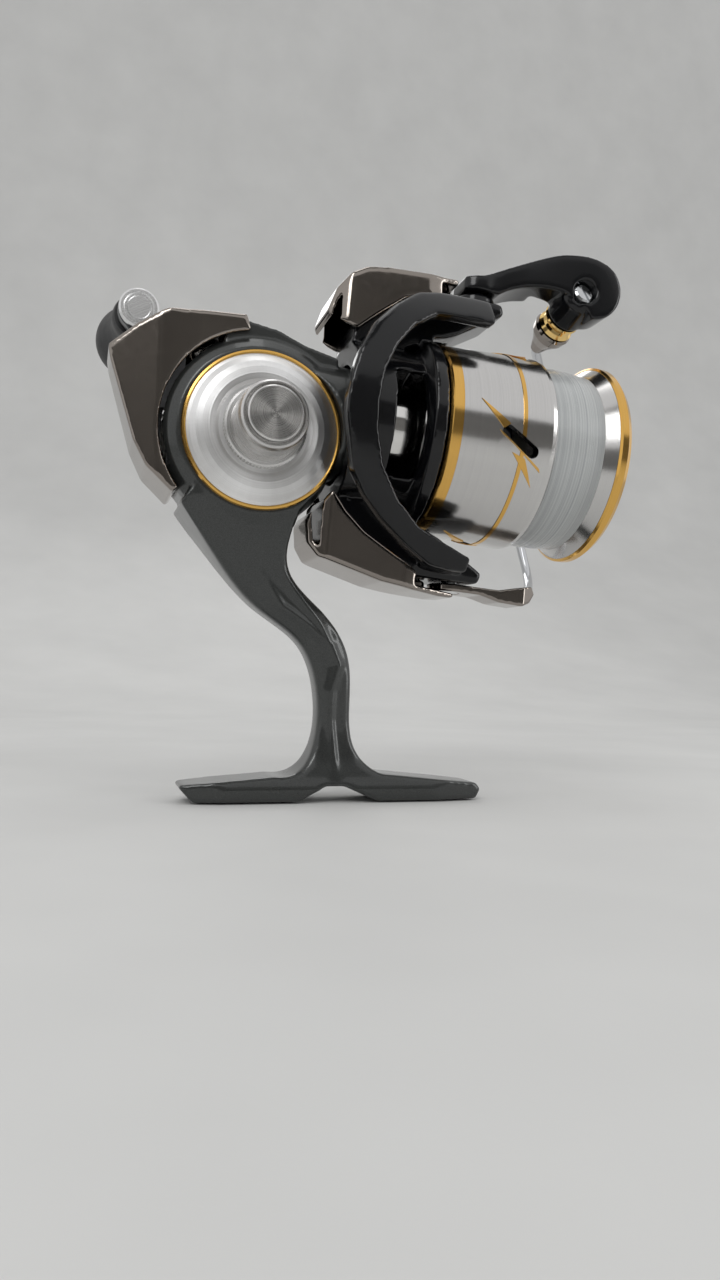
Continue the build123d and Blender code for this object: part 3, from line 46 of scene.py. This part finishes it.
# ---------------------------------------------------------------- the reel's own axes, in metres
AXIS_TILT = math.radians(4.0)       # the spool end dips
AXIS_HEIGHT = 80.8                  # main shaft above the foot, in mm
DRIVE_STATION, DRIVE_DROP = -17.0, 6.1
AHEAD = Vector((math.cos(AXIS_TILT), 0, -math.sin(AXIS_TILT)))
ABOVE = Vector((math.sin(AXIS_TILT), 0, math.cos(AXIS_TILT)))
ACROSS = Vector((0, 1, 0))
MAIN = Vector((0, 0, AXIS_HEIGHT)) * MM
DRIVE = MAIN + (AHEAD * DRIVE_STATION - ABOVE * DRIVE_DROP) * MM


# ---------------------------------------------------------------- materials
def node(tree, kind, **sockets):
    n = tree.nodes.new(kind)
    for key, value in sockets.items():
        if key in n.inputs:
            n.inputs[key].default_value = value
        else:
            setattr(n, key, value)
    return n


class Finish:
    """A principled material in object coordinates, with helpers for its procedural detail."""

    def __init__(self, name, base, metallic, rough, coat=0.0, coat_rough=0.05, ior=1.5, specular=0.5):
        self.m = bpy.data.materials.new(name)
        self.m.use_nodes = True
        self.t = self.m.node_tree
        self.t.nodes.clear()
        self.out = self.t.nodes.new("ShaderNodeOutputMaterial")
        self.p = self.t.nodes.new("ShaderNodeBsdfPrincipled")
        self.t.links.new(self.p.outputs[0], self.out.inputs[0])
        self.p.inputs["Base Color"].default_value = (*base, 1)
        self.p.inputs["Metallic"].default_value = metallic
        self.p.inputs["Roughness"].default_value = rough
        self.p.inputs["Coat Weight"].default_value = coat
        self.p.inputs["Coat Roughness"].default_value = coat_rough
        self.p.inputs["IOR"].default_value = ior
        self.p.inputs["Specular IOR Level"].default_value = specular
        self.co = self.t.nodes.new("ShaderNodeTexCoord").outputs["Object"]

    def link(self, a, b):
        self.t.links.new(a, b)

    def math(self, op, a, b=None):
        n = self.t.nodes.new("ShaderNodeMath")
        n.operation = op
        for i, v in enumerate((a, b)):
            if v is None:
                continue
            if isinstance(v, (int, float)):
                n.inputs[i].default_value = v
            else:
                self.link(v, n.inputs[i])
        return n.outputs[0]

    def vector(self, op, a, b=None, out=0):
        n = self.t.nodes.new("ShaderNodeVectorMath")
        n.operation = op
        for i, v in enumerate((a, b)):
            if v is None:
                continue
            if isinstance(v, (Vector, tuple)):
                n.inputs[i].default_value = v
            else:
                self.link(v, n.inputs[i])
        return n.outputs[out]

    def lathe(self, origin, axis):
        """Distance along and from an axis, in mm."""
        local = self.vector("SUBTRACT", self.co, origin)
        along = self.vector("DOT_PRODUCT", local, axis, out=1)
        away = self.vector("LENGTH", self.vector("CROSS_PRODUCT", local, axis), out=1)
        return self.math("MULTIPLY", along, 1000.0), self.math("MULTIPLY", away, 1000.0)

    def combine(self, x, y, z):
        n = self.t.nodes.new("ShaderNodeCombineXYZ")
        for i, v in enumerate((x, y, z)):
            if isinstance(v, (int, float)):
                n.inputs[i].default_value = v
            else:
                self.link(v, n.inputs[i])
        return n.outputs[0]

    def noise(self, scale, detail=3.0, rough=0.55, co=None):
        n = node(self.t, "ShaderNodeTexNoise", Scale=scale, Detail=detail, Roughness=rough)
        self.link(co or self.co, n.inputs["Vector"])
        return n.outputs["Fac"]

    def spread(self, value, low, high):
        n = node(self.t, "ShaderNodeMapRange")
        n.inputs["From Min"].default_value = 0.25
        n.inputs["From Max"].default_value = 0.75
        n.inputs["To Min"].default_value = low
        n.inputs["To Max"].default_value = high
        self.link(value, n.inputs["Value"])
        return n.outputs[0]

    def colour(self, value, low, high):
        n = self.t.nodes.new("ShaderNodeMix")
        n.data_type = "RGBA"
        n.inputs[6].default_value = (*low, 1)
        n.inputs[7].default_value = (*high, 1)
        self.link(self.spread(value, 0.0, 1.0), n.inputs[0])
        self.link(n.outputs[2], self.p.inputs["Base Color"])

    def roughness(self, value, low, high):
        self.link(self.spread(value, low, high), self.p.inputs["Roughness"])

    def bump(self, height, distance, strength=1.0, below=None):
        n = self.t.nodes.new("ShaderNodeBump")
        n.inputs["Distance"].default_value = distance * MM
        n.inputs["Strength"].default_value = strength
        self.link(height, n.inputs["Height"])
        if below is not None:
            self.link(below, n.inputs["Normal"])
        self.link(n.outputs[0], self.p.inputs["Normal"])
        return n.outputs[0]


def shade(base, factor):
    return tuple(min(1.0, c * factor) for c in base)


def paint(name, base, rough, coat, flake=0.0, grain=0.006, specular=0.5):
    f = Finish(name, base, 0.55 if flake else 0.0, rough, coat, 0.06, specular=specular)
    fine = f.noise(2600.0, 4.0)
    wide = f.noise(60.0, 2.0)
    f.colour(wide if not flake else f.noise(5200.0, 2.0), shade(base, 0.82), shade(base, 1.25 + flake))
    f.roughness(wide, rough * 0.85, rough * 1.2)
    f.bump(fine, grain, 0.5)
    return f.m


def mirror(name, base, rough):
    f = Finish(name, base, 1.0, rough)
    wide = f.noise(45.0, 2.0)
    f.colour(wide, shade(base, 0.86), shade(base, 1.12))
    f.roughness(f.noise(700.0, 4.0), rough * 0.7, rough * 1.5)
    f.bump(f.noise(120.0, 2.0), 0.004, 0.35)
    return f.m


def turned(name, base, rough, origin, axis, depth=0.012, along=9.0, away=11.0, contrast=0.12):
    """Lathe marks run round an axis: noise stretched round it."""
    f = Finish(name, base, 1.0, rough)
    s, r = f.lathe(origin, axis)
    marks = f.noise(1.0, 5.0, 0.7, f.combine(f.math("MULTIPLY", s, along), f.math("MULTIPLY", r, away), 0.0))
    f.colour(marks, shade(base, 1 - contrast), shade(base, 1 + contrast * 0.6))
    f.roughness(marks, rough * 0.75, rough * 1.35)
    f.bump(marks, depth, 0.6)
    return f.m


# Painted highlights: how many bright wedge pairs are painted round the axis, their turn and how sharp they
# are.
HIGHLIGHT_WEDGE_PAIRS, HIGHLIGHT_WEDGE_PHASE, HIGHLIGHT_WEDGE_SHARPNESS = 2.0, 0.6, 3.0


def turned_with_painted_highlights(name, base, rough, origin, contrast, face, depth=0.012):
    """Turned metal with real lathe marks, plus painted highlights: paired bright wedges and streaks painted
    into the colour by angle round the axis, in place of the brushed metal's reflection; `face` limits them to
    (reach, radius) in mm.
    """
    f = Finish(name, base, 1.0, rough)
    s, r = f.lathe(origin, ACROSS)
    local = node(f.t, "ShaderNodeSeparateXYZ")
    f.link(f.vector("SUBTRACT", f.co, origin), local.inputs[0])
    angle = f.math("ARCTAN2", local.outputs["Z"], local.outputs["X"])
    # Painted highlight: bright wedges and streaks painted into the colour by angle, on the face only.
    wave = f.math("COSINE", f.math("ADD", f.math("MULTIPLY", angle, HIGHLIGHT_WEDGE_PAIRS), HIGHLIGHT_WEDGE_PHASE))
    highlight_wedges = f.math("POWER", f.math("ABSOLUTE", wave), HIGHLIGHT_WEDGE_SHARPNESS)
    fine = f.noise(1.0, 3.0, 0.6, f.combine(f.math("MULTIPLY", angle, 9.0), 0.0, 0.0))
    reach, radius = face
    highlight_on_face = f.math("MULTIPLY", f.math("LESS_THAN", s, reach), f.math("LESS_THAN", r, radius))
    marks = f.noise(1.0, 5.0, 0.7, f.combine(f.math("MULTIPLY", s, 9.0), f.math("MULTIPLY", r, 11.0), 0.0))
    highlight_streaks = f.math("SUBTRACT", f.math("ADD", highlight_wedges, f.math("MULTIPLY", fine, 0.5)), 0.6)
    painted_fan = f.math("MULTIPLY", highlight_streaks, highlight_on_face)
    marks_and_painted_highlight = f.math("ADD", f.math("ADD", 0.5, f.math("MULTIPLY", painted_fan, contrast)),
                  f.math("MULTIPLY", f.math("SUBTRACT", marks, 0.5), 0.5))
    f.colour(marks_and_painted_highlight, shade(base, 0.55), shade(base, 1.2))
    f.roughness(marks, rough * 0.75, rough * 1.35)
    f.bump(marks, depth, 0.6)
    return f.m


def moulded(name, base, rough, grain=0.03, scale=1500.0):
    f = Finish(name, base, 0.0, rough)
    f.colour(f.noise(90.0, 3.0), shade(base, 0.8), shade(base, 1.3))
    f.roughness(f.noise(300.0, 3.0), rough * 0.85, rough * 1.15)
    f.bump(f.noise(scale, 3.0), grain, 0.6)
    return f.m


def wound(name):
    """Fine turns of clear line over the spool."""
    base = (0.60, 0.64, 0.66)
    f = Finish(name, base, 0.0, 0.22, 0.5, 0.12, specular=0.6)
    s, r = f.lathe(MAIN, AHEAD)
    turns = f.noise(1.0, 5.0, 0.75, f.combine(f.math("MULTIPLY", s, 3.0), 0.0, f.noise(30.0, 2.0)))
    along, away = f.math("MULTIPLY", s, 6.0), f.math("MULTIPLY", r, 0.4)
    streak = f.noise(1.0, 4.0, 0.6, f.combine(along, away, f.noise(12.0, 1.0)))
    f.colour(streak, (0.26, 0.275, 0.28), (0.50, 0.51, 0.505))
    f.roughness(streak, 0.16, 0.34)
    under = f.bump(turns, 0.12, 0.8)
    f.bump(streak, 0.05, 0.6, under)
    f.p.inputs["Subsurface Weight"].default_value = 0.15
    f.p.inputs["Subsurface Radius"].default_value = (0.002, 0.002, 0.002)
    return f.m


def woven(name):
    f = Finish(name, (0.05, 0.05, 0.05), 0.0, 0.4)
    checker = node(f.t, "ShaderNodeTexChecker", Scale=900.0)
    checker.inputs["Color1"].default_value = (0.03, 0.03, 0.032, 1)
    checker.inputs["Color2"].default_value = (0.09, 0.09, 0.095, 1)
    f.link(f.co, checker.inputs["Vector"])
    f.link(checker.outputs["Color"], f.p.inputs["Base Color"])
    f.bump(checker.outputs["Fac"], 0.02, 0.6)
    return f.m


GUNMETAL = (0.032, 0.034, 0.033)
finishes = {
    "gunmetal_body": paint("gunmetal_body", GUNMETAL, 0.30, 0.55, flake=0.5),
    "smoke_chrome": mirror("smoke_chrome", (0.29, 0.26, 0.235), 0.08),
    "turned_aluminium": turned("turned_aluminium", (0.80, 0.80, 0.80), 0.24, DRIVE, ACROSS),
    "gold_anodised": turned("gold_anodised", (0.78, 0.46, 0.12), 0.16, MAIN, AHEAD, 0.004),
    "bright_steel": mirror("bright_steel", (0.62, 0.63, 0.64), 0.12),
    "brass": turned("brass", (0.72, 0.52, 0.24), 0.24, MAIN, AHEAD),
    "polished_sleeve": turned("polished_sleeve", (0.76, 0.75, 0.73), 0.10, MAIN, AHEAD, 0.004),
    "black_rubber": moulded("black_rubber", (0.018, 0.018, 0.018), 0.6),
    "cast_zinc": moulded("cast_zinc", (0.32, 0.33, 0.34), 0.35, 0.02),
    "dark_arm": paint("dark_arm", (0.018, 0.020, 0.022), 0.28, 0.5),
    "knob_black": moulded("knob_black", (0.014, 0.014, 0.015), 0.42, 0.05, 1100.0),
    "white_polymer": moulded("white_polymer", (0.62, 0.61, 0.57), 0.45),
    "gloss_black": paint("gloss_black", (0.003, 0.0032, 0.004), 0.18, 0.25, grain=0.003, specular=0.3),
    "wire_chrome": mirror("wire_chrome", (0.64, 0.65, 0.67), 0.08),
    "gold_roller": mirror("gold_roller", (0.86, 0.60, 0.24), 0.10),
    "satin_spool": turned("satin_spool", (0.62, 0.61, 0.60), 0.15, MAIN, AHEAD, 0.010, 8.0, 10.0),
    "nylon_line": wound("nylon_line"),
    "black_polymer": moulded("black_polymer", (0.015, 0.015, 0.015), 0.4),
    "carbon_fibre": woven("carbon_fibre"),
}
ring_gold = turned("ring_gold", (0.78, 0.46, 0.12), 0.16, DRIVE, ACROSS, 0.004)
spool_knob = turned("spool_knob", (0.70, 0.71, 0.72), 0.22, MAIN, AHEAD, 0.008)

slots = {p["node"]: p["material_slot"] for p in frame["record"]["subparts"]}
body_of = {n: b for b, ns in frame["record"]["behaviour"]["bodies"].items() for n in ns}
# The handle cap and the side plate's dish get painted highlights: bright wedges painted into their colour.
cap_metal_painted_highlights = turned_with_painted_highlights("cap_metal_painted_highlights", (0.74, 0.73, 0.72), 0.26, DRIVE, 0.55, (-23.2, 5.2))
dish_metal_painted_highlights = turned_with_painted_highlights("dish_metal_painted_highlights", (0.95, 0.94, 0.93), 0.38, DRIVE, 0.22, (0.0, 15.6))
special = {
    "side_plate_ring": ring_gold,
    "drag_knob": spool_knob,
    "handle_cap": cap_metal_painted_highlights,
    "side_plate": dish_metal_painted_highlights,
}


def dress(obj, material):
    obj.data.materials.clear()
    obj.data.materials.append(material)


for name, obj in frame["nodes"].items():
    dress(obj, special.get(name, finishes[slots[name]]))


# ---------------------------------------------------------------- shaped pieces
def finish_mesh(obj, node_name):
    dress(obj, finishes[slots[node_name]])
    for polygon in obj.data.polygons:
        polygon.use_smooth = True
    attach(obj, body_of[node_name])
    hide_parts(node_name)
    return obj


def joined_mesh(source):
    mesh = source.copy()
    bm = bmesh.new()
    bm.from_mesh(mesh)
    bmesh.ops.remove_doubles(bm, verts=bm.verts, dist=1e-6)
    bm.to_mesh(mesh)
    bm.free()
    return mesh


def evaluated_mesh(obj):
    bpy.context.view_layer.update()
    mesh = bpy.data.meshes.new_from_object(obj.evaluated_get(bpy.context.evaluated_depsgraph_get()))
    bpy.data.objects.remove(obj)
    return mesh


def soften(node_name, voxel, rounds, melt=None, melt_rounds=0):
    """The CAD piece with its edges eased, as a cast or moulded piece has them; voxel is in mm.

    melt gives each point a weight from 0 to 1; those parts are rounded off much further.
    """
    coarse = 1.0
    rough = bpy.data.objects.new(node_name + "_rough", joined_mesh(frame["nodes"][node_name].data))
    bpy.context.scene.collection.objects.link(rough)
    remesh = rough.modifiers.new("remesh", "REMESH")
    remesh.mode = "VOXEL"
    remesh.voxel_size = voxel * coarse * MM
    smooth = bpy.data.objects.new(node_name + "_smooth", evaluated_mesh(rough))
    bpy.context.scene.collection.objects.link(smooth)
    ease = smooth.modifiers.new("ease", "SMOOTH")
    ease.iterations = rounds
    if melt:
        group = smooth.vertex_groups.new(name="melt")
        for vertex in smooth.data.vertices:
            weight = melt(vertex.co)
            if weight > 0:
                group.add([vertex.index], weight, "REPLACE")
        more = smooth.modifiers.new("more", "SMOOTH")
        more.vertex_group = "melt"
        more.iterations = int(melt_rounds / coarse ** 2)
    obj = bpy.data.objects.new(node_name + "_shaped", evaluated_mesh(smooth))
    bpy.context.scene.collection.objects.link(obj)
    return finish_mesh(obj, node_name)


def ramp(value, start, end):
    return max(0.0, min(1.0, (value - start) / (end - start)))


FOOT_MELT = 0.06


def stem_melt(co):
    """The stem is rounded like a drawn bar; the foot keeps its flat sole and thin ends."""
    z = co.z / MM
    return ramp(z, 56.0, 46.0) * (FOOT_MELT + (1 - FOOT_MELT) * ramp(z, 5.0, 16.0))


def hoop_melt(co):
    """Everything that stands away from the rotor's drum: its hoops and arms."""
    local = co - MAIN
    away = (local - AHEAD * local.dot(AHEAD)).length / MM
    return ramp(away, 20.5, 25.0)


def distance_to_route(points, route):
    """Distance in mm from each (X, Z) point to the nearest of the route's straight runs."""
    nearest = np.full(len(points), np.inf)
    for start, end in zip(route, route[1:]):
        start, run = np.array(start), np.subtract(end, start)
        share = np.clip((points - start) @ run / (run @ run), 0.0, 1.0)
        nearest = np.minimum(nearest, np.linalg.norm(points - start - share[:, None] * run, axis=1))
    return nearest


def raise_ridges(obj, routes, height, half_width):
    """Raised lines on both flanks of the stem, along routes of (X, Z) in mm."""
    count = len(obj.data.vertices)
    co, normal = np.empty(count * 3, np.float32), np.empty(count * 3, np.float32)
    obj.data.vertices.foreach_get("co", co)
    obj.data.vertex_normals.foreach_get("vector", normal)
    co, normal = co.reshape(-1, 3), normal.reshape(-1, 3)
    points = co[:, [0, 2]] / MM
    away = np.minimum.reduce([distance_to_route(points, route) for route in routes])
    flank = np.clip((np.abs(normal[:, 1]) - 0.15) / 0.55, 0, 1) * np.clip((points[:, 1] - 4.0) / 5.0, 0, 1)
    fade = np.clip((50.0 - points[:, 1]) / 10.0, 0, 1)
    lift = height * np.exp(-(away / half_width) ** 2) * flank * fade
    co[:, 1] += np.sign(co[:, 1]) * lift * MM
    obj.data.vertices.foreach_set("co", co.ravel())
    obj.data.update()


RIDGE_ROUTES = (
    ((1.0, 5.4), (-0.2, 17.0), (-0.1, 23.3), (1.4, 28.6), (-0.3, 32.6), (-5.3, 36.7), (-11.3, 40.6),
     (-15.7, 46.8)),
    ((1.4, 28.6), (-2.9, 36.8), (-9.8, 45.6), (-12.9, 49.1)),
)
RIDGE_HEIGHT, RIDGE_HALF_WIDTH = 0.75, 1.05

body = soften("body_frame", 0.34, 8, stem_melt, 150)
raise_ridges(body, RIDGE_ROUTES, RIDGE_HEIGHT, RIDGE_HALF_WIDTH)
soften("rear_cover", 0.28, 22)
soften("rotor", 0.34, 6, hoop_melt, 34)
for cover in ("arm_cover_upper", "arm_cover_lower"):
    soften(cover, 0.26, 26)
soften("bail_arm", 0.24, 34)
soften("bail_holder", 0.22, 12)
soften("handle_arm", 0.30, 30)

# ---------------------------------------------------------------- gilt blades beside the skirt's slots
SLOT_STATION = 34.8          # along the main shaft, in mm
FIRST_SLOT = 97.0            # degrees round it, from the top
BLADE_TOP, BLADE_ROOT = 0.13, -0.10
BLADES = (
    ((-9.2, 7.8), (-2.6, 3.3), (-4.0, 2.2)),
    ((-4.9, 1.8), (-4.1, 0.9), (4.9, -4.9), (5.3, -5.8)),
    ((-1.6, -2.4), (1.4, -3.4), (4.2, -9.2)),
)


def skirt_radius(s):
    return 20.8 + 0.7 * ramp(s, 22.0, 35.0) + 0.2 * ramp(s, 35.0, 41.8)


def blade(name, outline, angle):
    """A thin raised panel wrapped on the skirt, from an outline in mm round the slot's middle."""
    bm = bmesh.new()
    verts = [bm.verts.new((x, y, 0.0)) for x, y in outline]
    bm.faces.new(verts)
    bmesh.ops.triangulate(bm, faces=bm.faces[:])
    bmesh.ops.subdivide_edges(bm, edges=bm.edges[:], cuts=5, use_grid_fill=True)
    raised = bmesh.ops.extrude_face_region(bm, geom=bm.faces[:])
    for element in raised["geom"]:
        if isinstance(element, bmesh.types.BMVert):
            element.co.z = 1.0
    for vertex in bm.verts:
        s = SLOT_STATION + vertex.co.x
        around = math.radians(angle) - vertex.co.y / skirt_radius(s)
        outward = ABOVE * math.cos(around) - ACROSS * math.sin(around)
        radius = skirt_radius(s) + (BLADE_TOP if vertex.co.z > 0.5 else BLADE_ROOT)
        vertex.co = MAIN + (AHEAD * s + outward * radius) * MM
    bmesh.ops.recalc_face_normals(bm, faces=bm.faces[:])
    mesh = bpy.data.meshes.new(name)
    bm.to_mesh(mesh)
    bm.free()
    obj = bpy.data.objects.new(name, mesh)
    bpy.context.scene.collection.objects.link(obj)
    dress(obj, finishes["gold_anodised"])
    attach(obj, "spool")


for quarter in range(4):
    for number, outline in enumerate(BLADES):
        blade(f"skirt_blade_{quarter + 1}_{number + 1}", outline, FIRST_SLOT + 90 * quarter)

# ---------------------------------------------------------------- floor, light and camera
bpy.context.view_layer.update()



def sweep_floor(front, rear, bend, rise, half_width, steps=24):
    """A cloth that lies flat and then curves up behind the reel, so no horizon shows."""
    profile = [(front, 0.0), (rear - bend, 0.0)]
    for i in range(1, steps + 1):
        angle = 0.5 * math.pi * i / steps
        profile.append((rear - bend + bend * math.sin(angle), bend - bend * math.cos(angle)))
    profile.append((rear, rise))
    points = [(x, y, z) for y, z in profile for x in (-half_width, half_width)]
    faces = [(2 * i, 2 * i + 1, 2 * i + 3, 2 * i + 2) for i in range(len(profile) - 1)]
    mesh = bpy.data.meshes.new("floor")
    mesh.from_pydata(points, [], faces)
    for polygon in mesh.polygons:
        polygon.use_smooth = True
    return bpy.data.objects.new("floor", mesh)


floor = sweep_floor(-1.2, 1.0, 0.7, 1.6, 1.8)
floor.location.z = -0.0004
bpy.context.scene.collection.objects.link(floor)
f = Finish("floor_cloth", (0.70, 0.70, 0.69), 0.0, 0.8)
f.colour(f.noise(14.0, 3.0), (0.56, 0.56, 0.552), (0.62, 0.62, 0.61))
f.bump(f.noise(900.0, 2.0), 0.05, 0.3)
dress(floor, f.m)

world = bpy.data.worlds.new("studio")
bpy.context.scene.world = world
world.use_nodes = True
wt = world.node_tree
wt.nodes.clear()
background = wt.nodes.new("ShaderNodeBackground")
background.inputs["Color"].default_value = (0.62, 0.62, 0.62, 1)
background.inputs["Strength"].default_value = 1.25
wt.links.new(background.outputs[0], wt.nodes.new("ShaderNodeOutputWorld").inputs[0])


def softbox(name, at, towards, width, height, watts):
    light = bpy.data.lights.new(name, "AREA")
    light.shape = "RECTANGLE"
    light.size, light.size_y = width, height
    light.energy = watts
    obj = bpy.data.objects.new(name, light)
    obj.location = at
    obj.rotation_euler = (Vector(towards) - Vector(at)).to_track_quat("-Z", "Y").to_euler()
    bpy.context.scene.collection.objects.link(obj)


middle = (0.005, 0.0, 0.07)
softbox("key", (-0.25, -0.45, 0.50), middle, 0.22, 0.35, 1.1)
softbox("side", (0.55, -0.30, 0.22), middle, 0.12, 0.45, 0.6)
softbox("back", (0.10, 0.55, 0.45), middle, 0.35, 0.25, 0.5)
softbox("top", (0.0, 0.0, 0.65), middle, 0.40, 0.15, 0.25)


def dark_card(name, corner, across, up):
    """A dark flag that bright metal mirrors, out of the camera's view."""
    mesh = bpy.data.meshes.new(name)
    a, b, c = Vector(corner), Vector(across), Vector(up)
    mesh.from_pydata([a, a + b, a + b + c, a + c], [], [(0, 1, 2, 3)])
    card = bpy.data.objects.new(name, mesh)
    bpy.context.scene.collection.objects.link(card)
    m = Finish(name, (0.20, 0.195, 0.185), 0.0, 0.9)
    m.colour(m.noise(3.0), (0.14, 0.136, 0.13), (0.26, 0.254, 0.245))
    dress(card, m.m)
    card.visible_camera = False
    card.visible_shadow = False
    card.visible_diffuse = False


dark_card("flag_low", (-0.9, -0.62, 0.0), (0.62, 0.1, 0), (0, 0, 0.30))
dark_card("flag_front", (-0.50, -0.80, 0.03), (1.40, 0.0, 0), (0, 0, 0.46))
dark_card("flag_ceiling", (-0.35, -0.55, 0.75), (0.55, 0, 0), (0, 0.30, 0))
dark_card("flag_right", (0.62, -0.70, 0.05), (0.10, 0.35, 0), (0, 0, 0.22))

LENS, SENSOR = 26.72, 36.0
AZIMUTH, ELEVATION, ROLL = map(math.radians, (-16.43, -1.652, 1.508))
TARGET = Vector((7.21, 0, 34.24)) * MM
DISTANCE = 207.71 * MM

camera_data = bpy.data.cameras.new("camera")
camera_data.lens = LENS
camera_data.sensor_width = SENSOR
camera_data.sensor_fit = "AUTO"
camera_data.clip_start, camera_data.clip_end = 0.005, 10.0
camera = bpy.data.objects.new("camera", camera_data)
bpy.context.scene.collection.objects.link(camera)
level = math.cos(ELEVATION)
back = Vector((math.sin(AZIMUTH) * level, -math.cos(AZIMUTH) * level, math.sin(ELEVATION)))
right = Vector((0, 0, 1)).cross(back).normalized()
up = back.cross(right)
rolled_right = right * math.cos(ROLL) + up * math.sin(ROLL)
rolled_up = up * math.cos(ROLL) - right * math.sin(ROLL)
turn = Matrix((rolled_right, rolled_up, back)).transposed().to_4x4()
camera.matrix_world = Matrix.Translation(TARGET + back * DISTANCE) @ turn
bpy.context.scene.camera = camera
bpy.context.scene.view_settings.view_transform = "Standard"
